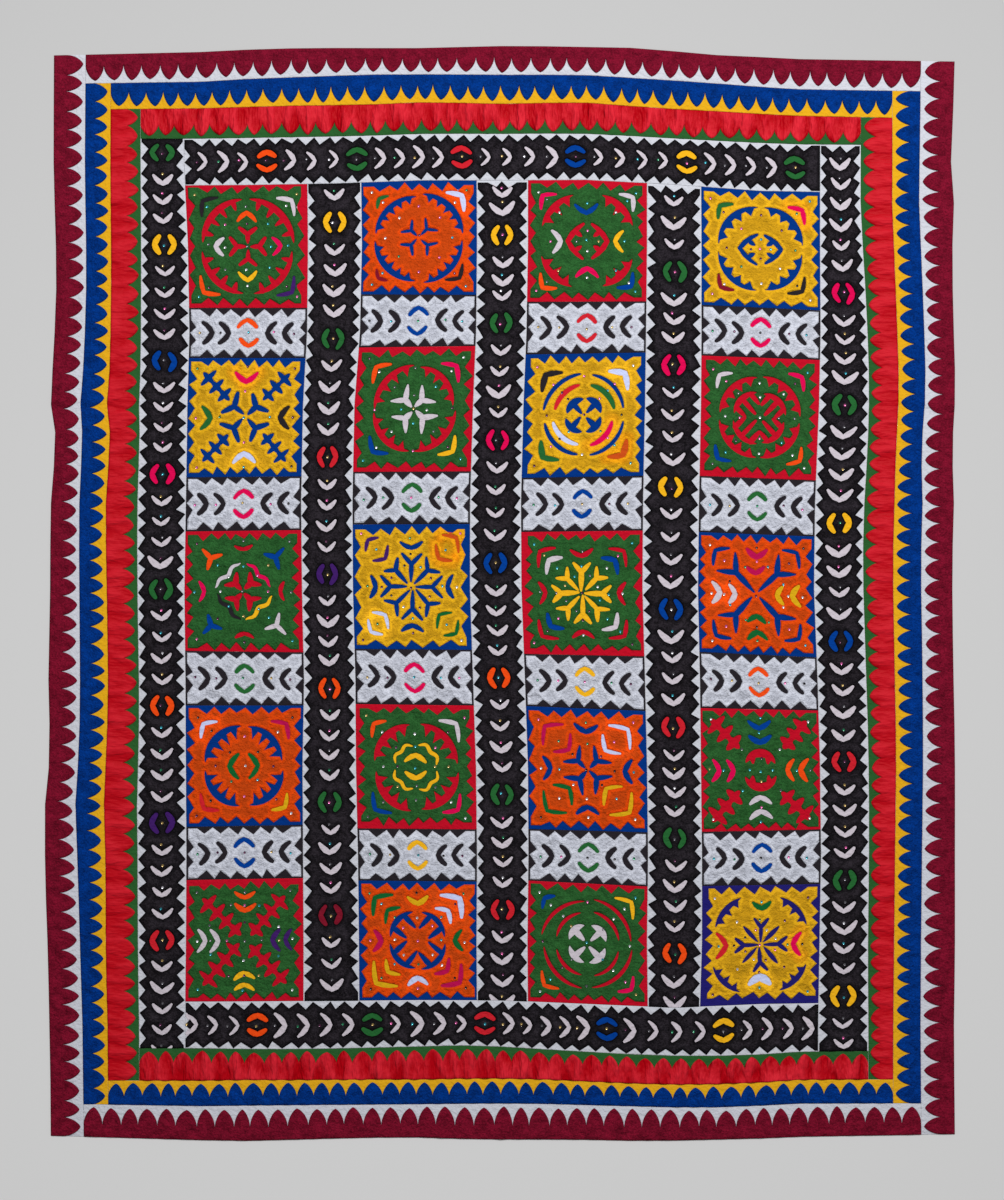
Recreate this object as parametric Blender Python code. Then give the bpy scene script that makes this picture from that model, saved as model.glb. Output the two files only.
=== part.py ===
"""A ralli quilt of cutwork panels, laid flat: three scalloped borders, black bands, blocks and white bars.

Metres, +Z up. The quilt lies on z = 0 with the middle of its outline at the origin. Its head is at +Y.
Each sewn-in panel is one solid through the quilt's thickness, parted from the next by the seam.
"""

import bmesh
import bpy
import numpy as np
from mathutils import Matrix

MM = 0.001
SEAM_GAP = 0.3 * MM

# Heights of the upper surface, in mm.
SEAM_HEIGHT = 2.5  # along the seams, which draw the layers down
PUFF = 0.8  # how far the middle of a panel stands above its seams
RIPPLE = 0.25  # slow unevenness of the cloth
RIPPLE_LENGTH = 310.0

# Creases left by folding the quilt away: the line each follows, its place and its size, in mm.
CREASES = (
    ("runs", "place", "height", "half_width"),
    ("across", 377, 1.3, 48),
    ("across", -423, 1.1, 48),
    ("down", 2, 0.9, 45),
    ("down", 200, 0.5, 40),
)

# Seams of the borders, in mm from the middle of the quilt. In the first two tables "down" is the place
# along the side and the rest are x; in the last two "across" is the place along the end and the rest are y.
LEFT_SEAMS = (
    ("down", "edge", "white_blue", "yellow_red", "green_black"),
    (1110, -893, -829, -779, -721),
    (887, -895, -832, -781, -721),
    (587, -890, -830, -780, -720),
    (427, -898, -837, -784, -722),
    (377, -900, -841, -788, -724),
    (337, -893, -838, -783, -723),
    (187, -900, -843, -790, -727),
    (-13, -902, -843, -788, -727),
    (-213, -905, -842, -786, -724),
    (-313, -902, -844, -789, -725),
    (-423, -912, -851, -794, -728),
    (-533, -912, -847, -791, -727),
    (-733, -906, -841, -790, -726),
    (-933, -902, -835, -785, -723),
    (-1110, -899, -832, -784, -723),
)
RIGHT_SEAMS = (
    ("down", "edge", "white_blue", "yellow_red", "green_black"),
    (1110, 914, 843, 783, 722),
    (977, 905, 840, 783, 722),
    (897, 899, 838, 783, 720),
    (787, 906, 836, 782, 719),
    (687, 903, 840, 786, 724),
    (587, 904, 844, 790, 730),
    (387, 908, 848, 795, 736),
    (287, 903, 841, 790, 733),
    (187, 906, 843, 787, 727),
    (67, 903, 840, 784, 724),
    (-93, 904, 842, 786, 728),
    (-323, 908, 844, 790, 735),
    (-513, 908, 842, 788, 736),
    (-713, 908, 840, 786, 734),
    (-913, 906, 839, 784, 735),
    (-1110, 910, 842, 784, 735),
)
TOP_SEAMS = (
    ("across", "edge", "white_blue", "yellow_red", "green_black", "band"),
    (-930, 1067, 1013, 963, 909, 811),
    (-642, 1081, 1021, 969, 909, 811),
    (-502, 1088, 1029, 973, 911, 817),
    (-386, 1091, 1033, 976, 913, 816),
    (-280, 1091, 1037, 977, 915, 824),
    (-162, 1091, 1038, 982, 919, 826),
    (-2, 1095, 1037, 979, 919, 826),
    (178, 1093, 1036, 981, 919, 827),
    (292, 1090, 1029, 972, 913, 824),
    (400, 1079, 1022, 966, 907, 811),
    (518, 1073, 1013, 959, 901, 805),
    (638, 1067, 1006, 953, 897, 799),
    (930, 1058, 997, 941, 893, 791),
)
BOTTOM_SEAMS = (
    ("across", "edge", "white_blue", "yellow_red", "green_black", "band"),
    (-930, -1073, -1014, -973, -907, -819),
    (-642, -1092, -1025, -975, -909, -819),
    (-522, -1095, -1024, -973, -911, -816),
    (-396, -1092, -1023, -973, -911, -814),
    (-282, -1089, -1022, -972, -909, -815),
    (-162, -1088, -1021, -972, -906, -813),
    (-48, -1092, -1020, -970, -904, -812),
    (58, -1092, -1020, -971, -910, -816),
    (178, -1093, -1023, -976, -917, -821),
    (292, -1095, -1026, -981, -923, -827),
    (400, -1093, -1028, -982, -925, -828),
    (518, -1090, -1024, -978, -922, -821),
    (638, -1085, -1018, -970, -914, -814),
    (930, -1075, -1019, -970, -907, -809),
)

# The sides of the four columns of blocks: x in mm at each height down the quilt.
COLUMN_SEAMS = (
    ("down", "left_1", "right_1", "left_2", "right_2", "left_3", "right_3", "left_4", "right_4"),
    (863, -634, -388, -280, -49, 54, 292, 400, 638),
    (697, -626, -386, -278, -48, 54, 292, 401, 638),
    (521, -623, -388, -282, -50, 51, 290, 401, 639),
    (377, -627, -396, -293, -56, 45, 288, 400, 636),
    (181, -630, -400, -297, -62, 40, 284, 396, 628),
    (7, -633, -398, -296, -62, 41, 283, 394, 626),
    (-173, -631, -394, -291, -56, 48, 288, 398, 633),
    (-349, -630, -397, -290, -50, 54, 292, 400, 638),
    (-523, -629, -396, -286, -48, 55, 294, 402, 640),
    (-697, -630, -395, -284, -49, 53, 292, 402, 637),
    (-863, -632, -395, -283, -48, 54, 294, 397, 634),
)

# The seams between the blocks and the white bars of a column: y in mm at its left and right side.
# A row is the foot of one block and the head of the next, with the white bar between them.
BAR_SEAMS = (
    ("column", "row", "foot_left", "foot_right", "head_left", "head_right"),
    (1, 1, 571, 571, 471, 471),
    (1, 2, 232, 234, 124, 127),
    (1, 3, -115, -118, -224, -224),
    (1, 4, -467, -463, -573, -569),
    (2, 1, 598, 597, 492, 495),
    (2, 2, 243, 244, 138, 139),
    (2, 3, -111, -113, -221, -224),
    (2, 4, -470, -472, -574, -576),
    (3, 1, 583, 584, 478, 482),
    (3, 2, 231, 235, 123, 126),
    (3, 3, -121, -126, -225, -235),
    (3, 4, -471, -478, -574, -586),
    (4, 1, 577, 566, 476, 467),
    (4, 2, 235, 226, 123, 114),
    (4, 3, -117, -128, -229, -234),
    (4, 4, -477, -472, -585, -581),
)
COLUMNS = 4
ROWS = 5

# Top cloth of each block, by row from the head of the quilt.
BLOCK_CLOTHS = (
    ("green", "orange", "green", "yellow"),
    ("yellow", "green", "yellow", "green"),
    ("green", "yellow", "green", "orange"),
    ("orange", "green", "orange", "green"),
    ("green", "orange", "green", "yellow"),
)

# Places at which the seams bend. Those of the borders lie between those that blocks and bars share.
BORDER_DOWN = (863, 781, 697, 609, 521, 447, 377, 323, 253, 181, 93, 7, -83, -173, -261, -349, -423, -523,
               -609, -697, -783, -863)
BORDER_ACROSS = (-602, -510, -422, -334, -250, -166, -82, 0, 86, 172, 258, 346, 432, 518, 598)
EDGE_DOWN = 975  # one more bend near each end of the long outer edges
BAND_ACROSS = (-510, -334, -166, 0, 172, 346, 518)
BEYOND = 1300  # every seam runs on past the quilt's edge, so that two seams always cross

CLOTHS = {
    "maroon": ((0.19, 0.006, 0.022), 0.75),
    "blue": ((0.006, 0.035, 0.25), 0.75),
    "red": ((0.60, 0.012, 0.022), 0.45),
    "green": ((0.03, 0.14, 0.035), 0.75),
    "orange": ((0.72, 0.085, 0.012), 0.75),
    "yellow": ((0.72, 0.40, 0.015), 0.75),
    "black": ((0.015, 0.013, 0.017), 0.8),
    "white": ((0.72, 0.70, 0.76), 0.8),
}


def column_of(table, name):
    """One named column of a table, without its heading."""
    index = table[0].index(name)
    return np.array([row[index] for row in table[1:]], float)


def smooth_through(places, values, wanted):
    """Cubic curve through a table's values, read at the wanted places."""
    order = np.argsort(places)
    places, values = places[order], values[order]
    slopes = np.gradient(values, places)
    wanted = np.clip(wanted, places[0], places[-1])
    low = np.clip(np.searchsorted(places, wanted) - 1, 0, len(places) - 2)
    span = places[low + 1] - places[low]
    u = (wanted - places[low]) / span
    rise = values[low + 1] - values[low]
    bulge_low = slopes[low] * span - rise
    bulge_high = rise - slopes[low + 1] * span
    return values[low] + u * rise + u * (1 - u) * ((1 - u) * bulge_low + u * bulge_high)


class Seam:
    """A seam that runs along or across the quilt: straight from bend to bend, moved aside by half the gap."""

    def __init__(self, bends, offsets):
        order = np.argsort(bends)
        self.bends = np.array(bends, float)[order]
        self.offsets = np.array(offsets, float)[order]

    def moved(self, by):
        return Seam(self.bends, self.offsets + by)

    def at(self, place):
        return float(np.interp(place, self.bends, self.offsets))


def border_seam(table, name, bends):
    """A border's seam, bending at the given places and running on past both ends."""
    places = column_of(table, table[0][0])
    bends = np.array((-BEYOND, *bends, BEYOND), float)
    return Seam(bends, smooth_through(places, column_of(table, name), bends))


def straight_seam(start, end):
    """A seam from one point to another, running on past both."""
    (x0, y0), (x1, y1) = start, end
    slope = (y1 - y0) / (x1 - x0)
    return Seam((-BEYOND, BEYOND), (y0 - slope * (BEYOND + x0), y0 + slope * (BEYOND - x0)))


def crossing(down_seam, across_seam):
    """Where a seam that runs down meets one that runs across."""
    x, y = down_seam.at(0), 0.0
    for _ in range(12):
        y = across_seam.at(x)
        x = down_seam.at(y)
    return x, y


def steps_between(start, end, bends, steps):
    """Places from start to end that pass through every bend between them, each span cut into equal steps."""
    low, high = min(start, end), max(start, end)
    stops = [start, *sorted((b for b in bends if low < b < high), reverse=start > end), end]
    places = [start]
    for a, b in zip(stops, stops[1:]):
        places += [a + (b - a) * k / steps for k in range(1, steps + 1)]
    return places


def surface_height(x, y, s, t):
    """Height of the upper surface in mm, s across the panel and t down it, both from 0 to 1."""
    height = SEAM_HEIGHT + PUFF * (1 - (2 * s - 1) ** 4) * (1 - (2 * t - 1) ** 4)
    wave = 2 * np.pi / RIPPLE_LENGTH
    height += RIPPLE * np.sin(wave * (x + 0.4 * y)) * np.sin(wave * (0.9 * y - 0.3 * x) + 1)
    for runs, place, rise, half_width in CREASES[1:]:
        away = (y if runs == "across" else x) - place
        height += rise * np.exp(-((away / half_width) ** 2))
    return height


def fresh_scene():
    for obj in list(bpy.data.objects):
        bpy.data.objects.remove(obj, do_unlink=True)
    quilt = bpy.data.collections.new("ralli_quilt")
    bpy.context.scene.collection.children.link(quilt)
    return quilt


def cloth_material(cloth):
    name = f"{cloth}_cloth"
    if name in bpy.data.materials:
        return bpy.data.materials[name]
    colour, roughness = CLOTHS[cloth]
    material = bpy.data.materials.new(name)
    material.use_nodes = True
    shader = material.node_tree.nodes["Principled BSDF"]
    shader.inputs["Base Color"].default_value = (*colour, 1)
    shader.inputs["Roughness"].default_value = roughness
    shader.inputs["Metallic"].default_value = 0
    return material


def panel_points(left, right, top, bottom, down_bends, across_bends, steps):
    """The panel's upper surface as rows of points from its head to its foot, in mm."""
    corners = [[crossing(side, end) for side in (left, right)] for end in (top, bottom)]
    down = [steps_between(corners[0][k][1], corners[1][k][1], down_bends, steps[1]) for k in (0, 1)]
    across = [steps_between(corners[k][0][0], corners[k][1][0], across_bends, steps[0]) for k in (0, 1)]
    sides = [np.array([(side.at(y), y) for y in down[k]]) for k, side in enumerate((left, right))]
    ends = [np.array([(x, end.at(x)) for x in across[k]]) for k, end in enumerate((top, bottom))]
    corners = np.array(corners)
    rows, columns = len(down[0]) - 1, len(across[0]) - 1
    points = np.empty((rows + 1, columns + 1, 3))
    for i in range(rows + 1):
        for j in range(columns + 1):
            s, t = j / columns, i / rows
            straight = (1 - t) * ((1 - s) * corners[0, 0] + s * corners[0, 1])
            straight = straight + t * ((1 - s) * corners[1, 0] + s * corners[1, 1])
            x, y = (1 - s) * sides[0][i] + s * sides[1][i] + (1 - t) * ends[0][j] + t * ends[1][j] - straight
            points[i, j] = x, y, surface_height(x, y, s, t)
    return points


def sewn_panel(collection, name, cloth, seams, down_bends=(), across_bends=(), steps=(1, 1)):
    """One panel between its four seams (left, right, top, bottom), flat underneath."""
    left, right, top, bottom = seams
    half_gap = SEAM_GAP / MM / 2
    points = panel_points(
        left.moved(half_gap), right.moved(-half_gap), top.moved(-half_gap), bottom.moved(half_gap),
        down_bends, across_bends, steps,
    )
    rows, columns = points.shape[0] - 1, points.shape[1] - 1
    shape = bmesh.new()
    bmesh.ops.create_grid(shape, x_segments=columns, y_segments=rows, size=1)
    for vertex in shape.verts:
        j = round((vertex.co.x + 1) / 2 * columns)
        i = round((1 - vertex.co.y) / 2 * rows)
        vertex.co = points[i, j] * MM
    upper = set(shape.verts)
    bmesh.ops.extrude_face_region(shape, geom=shape.faces[:])
    for vertex in shape.verts:
        if vertex not in upper:
            vertex.co.z = 0
    bmesh.ops.recalc_face_normals(shape, faces=shape.faces[:])
    mesh = bpy.data.meshes.new(name)
    shape.to_mesh(mesh)
    shape.free()
    mesh.materials.append(cloth_material(cloth))
    panel = bpy.data.objects.new(name, mesh)
    collection.objects.link(panel)
    return panel


def border_seams(name):
    """The left, right, top and bottom seam of one name."""
    down = (EDGE_DOWN, *BORDER_DOWN, -EDGE_DOWN) if name == "edge" else BORDER_DOWN
    return (
        border_seam(LEFT_SEAMS, name, down),
        border_seam(RIGHT_SEAMS, name, down),
        border_seam(TOP_SEAMS, name, BORDER_ACROSS),
        border_seam(BOTTOM_SEAMS, name, BORDER_ACROSS),
    )


def make_borders(quilt):
    """Three rings of four strips. The side strips run the ring's full height, the ends butt between them."""
    rings = (("maroon", "edge", "white_blue"), ("blue", "white_blue", "yellow_red"),
             ("red", "yellow_red", "green_black"))
    down_bends = (EDGE_DOWN, *BORDER_DOWN, -EDGE_DOWN)
    for cloth, outer_name, inner_name in rings:
        left_out, right_out, top_out, bottom_out = border_seams(outer_name)
        left_in, right_in, top_in, bottom_in = border_seams(inner_name)
        strips = (
            ("left", (left_out, left_in, top_out, bottom_out), down_bends, (), (2, 1)),
            ("right", (right_in, right_out, top_out, bottom_out), down_bends, (), (2, 1)),
            ("top", (left_in, right_in, top_out, top_in), (), BORDER_ACROSS, (1, 2)),
            ("bottom", (left_in, right_in, bottom_in, bottom_out), (), BORDER_ACROSS, (1, 2)),
        )
        for side, seams, down, across, steps in strips:
            sewn_panel(quilt, f"{cloth}_strip_{side}", cloth, seams, down, across, steps)


def column_seams():
    """The side seams of the columns by name, such as left_1."""
    places = column_of(COLUMN_SEAMS, "down")
    bends = (BEYOND, *places, -BEYOND)
    seams = {}
    for name in COLUMN_SEAMS[0][1:]:
        x = column_of(COLUMN_SEAMS, name)
        seams[name] = Seam(bends, (x[0], *x, x[-1]))
    return seams


def band_end_seams():
    """The lower seam of the top band and the upper seam of the bottom one."""
    return border_seam(TOP_SEAMS, "band", BAND_ACROSS), border_seam(BOTTOM_SEAMS, "band", BAND_ACROSS)


def make_bands(quilt):
    """Black bands: one down each side of the columns, and one across each end of them."""
    left, right, top, bottom = border_seams("green_black")
    sides = column_seams()
    top_band, bottom_band = band_end_seams()
    first, last = sides["left_1"], sides[f"right_{COLUMNS}"]
    sewn_panel(quilt, "black_band_1", "black", (left, first, top, bottom), BORDER_DOWN, (), (2, 1))
    for column in range(1, COLUMNS):
        seams = (sides[f"right_{column}"], sides[f"left_{column + 1}"], top_band, bottom_band)
        sewn_panel(quilt, f"black_band_{column + 1}", "black", seams, BORDER_DOWN, BAND_ACROSS, (1, 1))
    name = f"black_band_{COLUMNS + 1}"
    sewn_panel(quilt, name, "black", (last, right, top, bottom), BORDER_DOWN, (), (2, 1))
    sewn_panel(quilt, "black_band_top", "black", (first, last, top, top_band), (), BORDER_ACROSS, (1, 2))
    sewn_panel(quilt, "black_band_bottom", "black", (first, last, bottom_band, bottom), (), BORDER_ACROSS,
               (1, 2))


def make_columns(quilt):
    """Blocks and white bars, by turns, down each column."""
    sides = column_seams()
    top_band, bottom_band = band_end_seams()
    down_bends = column_of(COLUMN_SEAMS, "down")
    for column in range(1, COLUMNS + 1):
        left, right = sides[f"left_{column}"], sides[f"right_{column}"]
        head = top_band
        bars = [row for row in BAR_SEAMS[1:] if row[0] == column]
        for _, row, foot_left, foot_right, head_left, head_right in bars:
            foot = straight_seam((left.at(foot_left), foot_left), (right.at(foot_right), foot_right))
            next_head = straight_seam((left.at(head_left), head_left), (right.at(head_right), head_right))
            cloth = BLOCK_CLOTHS[row - 1][column - 1]
            sewn_panel(quilt, f"block_r{row}_c{column}", cloth, (left, right, head, foot), down_bends,
                       BAND_ACROSS, (2, 2))
            sewn_panel(quilt, f"white_bar_r{row}_c{column}", "white", (left, right, foot, next_head),
                       down_bends, BAND_ACROSS, (2, 1))
            head = next_head
        cloth = BLOCK_CLOTHS[ROWS - 1][column - 1]
        sewn_panel(quilt, f"block_r{ROWS}_c{column}", cloth, (left, right, head, bottom_band), down_bends,
                   BAND_ACROSS, (2, 2))


def centre_on_origin(quilt):
    """Move the whole quilt in the plane so that the middle of its outline is at the origin."""
    corners = np.array([corner for panel in quilt.objects for corner in panel.bound_box])
    x, y, _ = (corners.min(axis=0) + corners.max(axis=0)) / 2
    for panel in quilt.objects:
        panel.data.transform(Matrix.Translation((-x, -y, 0)))


def main():
    quilt = fresh_scene()
    make_borders(quilt)
    make_bands(quilt)
    make_columns(quilt)
    centre_on_origin(quilt)


main()
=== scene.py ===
"""A cutwork ralli quilt laid out flat.

Every panel is a top cloth, cut through and turned under along its cuts, over a plain ground cloth. Patches of
other colours lie between the two, and sequins are sewn on top.
"""

from collections import defaultdict, namedtuple

import bpy
import numpy as np
from bpy.props import FloatProperty, FloatVectorProperty, IntProperty, PointerProperty
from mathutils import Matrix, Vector, kdtree
from mathutils.geometry import delaunay_2d_cdt


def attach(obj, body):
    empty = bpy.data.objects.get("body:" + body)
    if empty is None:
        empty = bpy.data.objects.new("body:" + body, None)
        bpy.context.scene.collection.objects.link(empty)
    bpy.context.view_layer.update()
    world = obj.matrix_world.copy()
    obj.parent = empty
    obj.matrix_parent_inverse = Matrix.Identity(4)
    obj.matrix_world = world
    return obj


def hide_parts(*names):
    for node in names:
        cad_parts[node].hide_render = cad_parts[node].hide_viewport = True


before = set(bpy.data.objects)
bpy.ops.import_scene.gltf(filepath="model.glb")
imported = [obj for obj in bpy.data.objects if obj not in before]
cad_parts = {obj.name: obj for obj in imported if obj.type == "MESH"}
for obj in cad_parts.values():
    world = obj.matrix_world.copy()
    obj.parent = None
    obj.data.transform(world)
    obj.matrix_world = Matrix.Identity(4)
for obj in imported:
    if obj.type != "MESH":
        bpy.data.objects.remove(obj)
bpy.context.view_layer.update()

bl_info = {
    "name": "Cutwork Ralli Quilt",
    "version": (1, 0, 0),
    "blender": (4, 5, 0),
    "location": "View3D > Sidebar > Ralli Quilt",
    "description": "Sews cut top cloths, patches and sequins onto the panels of a ralli quilt",
    "category": "Object",
}

MM = 0.001
AXES = (90, 0, 270, 180)  # head, right, foot, left
DIAGONALS = (135, 45, 315, 225)  # head left, head right, foot right, foot left


def linear(code):
    """A six-figure colour code as linear red, green and blue."""
    levels = (int(code[i : i + 2], 16) / 255 for i in (0, 2, 4))
    return tuple(c / 12.92 if c <= 0.04045 else ((c + 0.055) / 1.055) ** 2.4 for c in levels)


# ---- what a user may change ----


def length(label, about, mm):
    return FloatProperty(name=label, description=about, default=mm * MM, min=0, unit="LENGTH", precision=5)


def colour_setting(label, about, code):
    return FloatVectorProperty(name=label, description=about, default=linear(code), size=3, min=0, max=1,
                               subtype="COLOR")


class QuiltSizes(bpy.types.PropertyGroup):
    """Sizes of the cloth, its hems and what is sewn on."""

    stitch_spacing: length("Cut spacing", "Distance between points along a cut edge", 3.2)
    fold_round: length("Fold round", "How far the turned-under edge takes to round over", 1.1)
    hem_width: length("Hem width", "Width of the cloth turned under along a cut", 6.0)
    hem_rise: length("Hem rise", "How much the doubled hem stands above the single cloth", 0.45)
    weave_grid: length("Cloth grid", "Spacing of the cloth's points away from its cuts", 7.5)
    layer_drop: length("Layer drop", "Depth from the top cloth down to its cut edge", 0.9)
    patch_drop: length("Patch drop", "Depth from the top cloth down to a patch", 1.1)
    ground_drop: length("Ground drop", "Depth from the top cloth down to the ground cloth", 1.8)
    edge_round: length("Edge round", "Rounding of the quilt's outer edge", 2.4)
    patch_margin: length("Patch margin", "How far a patch reaches under the cloth around its cut", 3.5)
    sequin_radius: length("Sequin radius", "Radius of a sequin", 2.5)
    hand_shake: length("Hand shake", "How far a cut strays from its drawn place", 0.7)


class QuiltColours(bpy.types.PropertyGroup):
    """Dyes of the cloths and of their doubled hems where these look different, with the satin's painted shade
    in its folds and painted sheen on its crests.
    """

    maroon: colour_setting("Maroon", "Outer border", "740F27")
    blue: colour_setting("Blue", "Second border and block grounds", "00317D")
    red: colour_setting("Red", "Block grounds, patches and the satin's cut edge", "BC0C24")
    # The satin's fold and crest colours are painted shade down in its gathers and painted sheen on top of
    # them.
    red_fold_painted_shade: colour_setting("Red fold", "Satin down in its gathers", "AE000F")
    red_crest_painted_sheen: colour_setting("Red crest", "Satin on top of its gathers", "D22231")
    green: colour_setting("Green", "Block cloth and ground of the satin border", "295A2B")
    orange: colour_setting("Orange", "Block cloth", "C4440E")
    orange_hem: colour_setting("Orange hem", "Block cloth where doubled", "E2490B")
    yellow: colour_setting("Yellow", "Block cloth", "C99618")
    yellow_hem: colour_setting("Yellow hem", "Block cloth where doubled", "E6AE1C")
    marigold: colour_setting("Marigold", "Ground of the second border", "DEA61C")
    black: colour_setting("Black", "Bands, patches and grounds of the bars", "252126")
    black_hem: colour_setting("Black hem", "Bands where doubled", "1A171B")
    white: colour_setting("White", "Bars", "BEC1CD")
    white_hem: colour_setting("White hem", "Bars where doubled", "CED1DD")
    chalk: colour_setting("Chalk", "Ground of the outer border and bands", "C8CAD3")
    magenta: colour_setting("Magenta", "Patches", "D8064F")
    purple: colour_setting("Purple", "Patches", "3E1C64")
    rust: colour_setting("Dark red", "Patches", "C8202C")
    claret: colour_setting("Claret", "Maroon patches", "7C1428")
    pale_blue: colour_setting("Pale blue", "White patches under yellow and orange cloth", "C3CBEE")
    emerald: colour_setting("Emerald", "Green patches", "246230")
    azure: colour_setting("Azure", "Blue patches", "003B90")
    gold: colour_setting("Gold", "Yellow patches", "ECB01C")
    flame: colour_setting("Flame", "Orange patches", "EC4A12")
    cerise: colour_setting("Cerise", "Patches under orange cloth", "B4104E")
    mustard: colour_setting("Mustard", "Patches under orange cloth", "D2A416")
    bottle: colour_setting("Bottle green", "Patches under yellow and orange cloth", "10602E")
    indigo: colour_setting("Indigo", "One block's ground", "201C6A")
    copper: colour_setting("Copper", "Orange patches under yellow cloth", "C24C18")
    pearl: colour_setting("Pearl", "White patches and birds", "C8BFC8")


# ---- panels of the frame ----


def underside_loop(mesh):
    """The outline of a solid's flat underside, counter-clockwise as seen from above."""
    spots = [tuple(round(c, 6) for c in vertex.co) for vertex in mesh.vertices]
    edges = set()
    for face in mesh.polygons:
        ring = [spots[i] for i in face.vertices]
        if any(z for _, _, z in ring):
            continue
        for start, end in zip(ring, ring[1:] + ring[:1]):
            if (end, start) in edges:
                edges.discard((end, start))
            else:
                edges.add((start, end))
    follows = {end: start for start, end in edges}
    loop = [min(follows)]
    while follows[loop[-1]] != loop[0]:
        loop.append(follows[loop[-1]])
    return np.array(loop)[:, :2]


def four_sides(loop):
    """The loop cut at its four corners: foot, right, head and left side, each from its low or left end."""
    before, after = loop - np.roll(loop, 1, axis=0), np.roll(loop, -1, axis=0) - loop
    turning = np.abs(np.angle((after @ (1, 1j)) / (before @ (1, 1j))))
    corners = np.sort(np.argsort(turning)[-4:])
    first = np.argmin(loop[corners].sum(axis=1))
    loop = np.roll(loop, -corners[first], axis=0)
    stops = np.roll((corners - corners[first]) % len(loop), -first)
    closed = np.vstack((loop, loop[:1]))
    foot, right, head, left = (closed[a : b + 1] for a, b in zip(stops, (*stops[1:], len(loop))))
    return foot, right, head[::-1], left[::-1]


def run_of(side):
    """Distance travelled along a polyline at each of its points."""
    return np.concatenate(((0,), np.cumsum(np.linalg.norm(np.diff(side, axis=0), axis=1))))


def point_along(side, share):
    run = run_of(side)
    return np.stack([np.interp(share * run[-1], run, side[:, k]) for k in (0, 1)], axis=-1)


# Folds and puckers of the laid quilt in mm: a line's two ends, how far it rises or, below 0, sinks, and half
# its width.
Crease = namedtuple("Crease", "x y to_x to_y rise half_width")
CREASES = tuple(Crease(*row) for row in (
    (-930, 366, -700, 372, -1.7, 9), (-930, 384, -700, 390, 1.2, 10), (-700, 372, 720, 376, 0.7, 14),
    (930, 356, 730, 376, -1.7, 9), (930, 374, 730, 394, 1.2, 10),
    (-930, -436, -700, -424, -1.4, 9), (-930, -418, -700, -408, 1.2, 10), (-700, -424, 720, -420, 0.6, 14),
    (930, -414, 730, -424, -1.2, 9),
    (0, 1110, 4, 840, 1.5, 7), (22, 1100, 20, 850, -1.1, 7), (4, 840, 4, -900, 0.6, 12),
    (6, -900, 2, -1090, 1.2, 8), (236, 1070, 330, 935, -1.9, 9), (204, 1096, 290, 960, 1.3, 11),
    (306, 800, 392, 640, -1.9, 8), (330, 800, 400, 680, 1.2, 9), (196, 815, 290, 750, -1.3, 9),
    (-190, 1090, -176, 950, -0.9, 9),
    (-420, 1080, -410, 960, 0.9, 10), (560, 1080, 548, 930, -0.9, 9), (760, 1040, 700, 900, -0.9, 10),
    (-534, 90, -526, -110, -1.5, 8), (-452, 100, -456, -100, -1.6, 7), (-580, 60, -570, -60, 0.9, 9),
    (-166, -250, -46, -390, -1.6, 9), (-150, -230, -30, -372, 0.9, 9), (500, -236, 640, -418, -1.9, 10),
    (430, -330, 500, -420, -1.4, 8), (560, -250, 640, -330, 1.0, 9), (-424, -600, -434, -750, -1.5, 8),
    (-560, -610, -520, -670, -1.3, 8), (200, -640, 280, -720, -1.3, 8), (-470, 770, -460, 690, -1.5, 7),
    (-540, 790, -556, 690, -1.2, 8), (-380, 720, -400, 660, -1.1, 7), (170, 780, 240, 740, -1.0, 8),
    (500, 420, 560, 330, -1.1, 9), (-230, 400, -170, 350, -1.1, 8), (120, 60, 220, -60, -0.9, 9),
    (-880, 700, -740, 690, 0.9, 9), (-880, 120, -740, 132, -1.0, 9), (-890, -160, -740, -150, 0.9, 10),
    (-880, -700, -740, -690, -0.9, 9), (880, 640, 740, 650, -0.9, 10), (890, 60, 740, 50, 1.0, 9),
    (890, -700, 740, -690, -1.0, 9), (-360, -1080, -350, -930, -1.1, 9), (-120, -1090, -130, -930, 1.0, 9),
    (260, -1080, 250, -930, -1.0, 9), (520, -1080, 530, -920, 0.9, 9),
))


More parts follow.
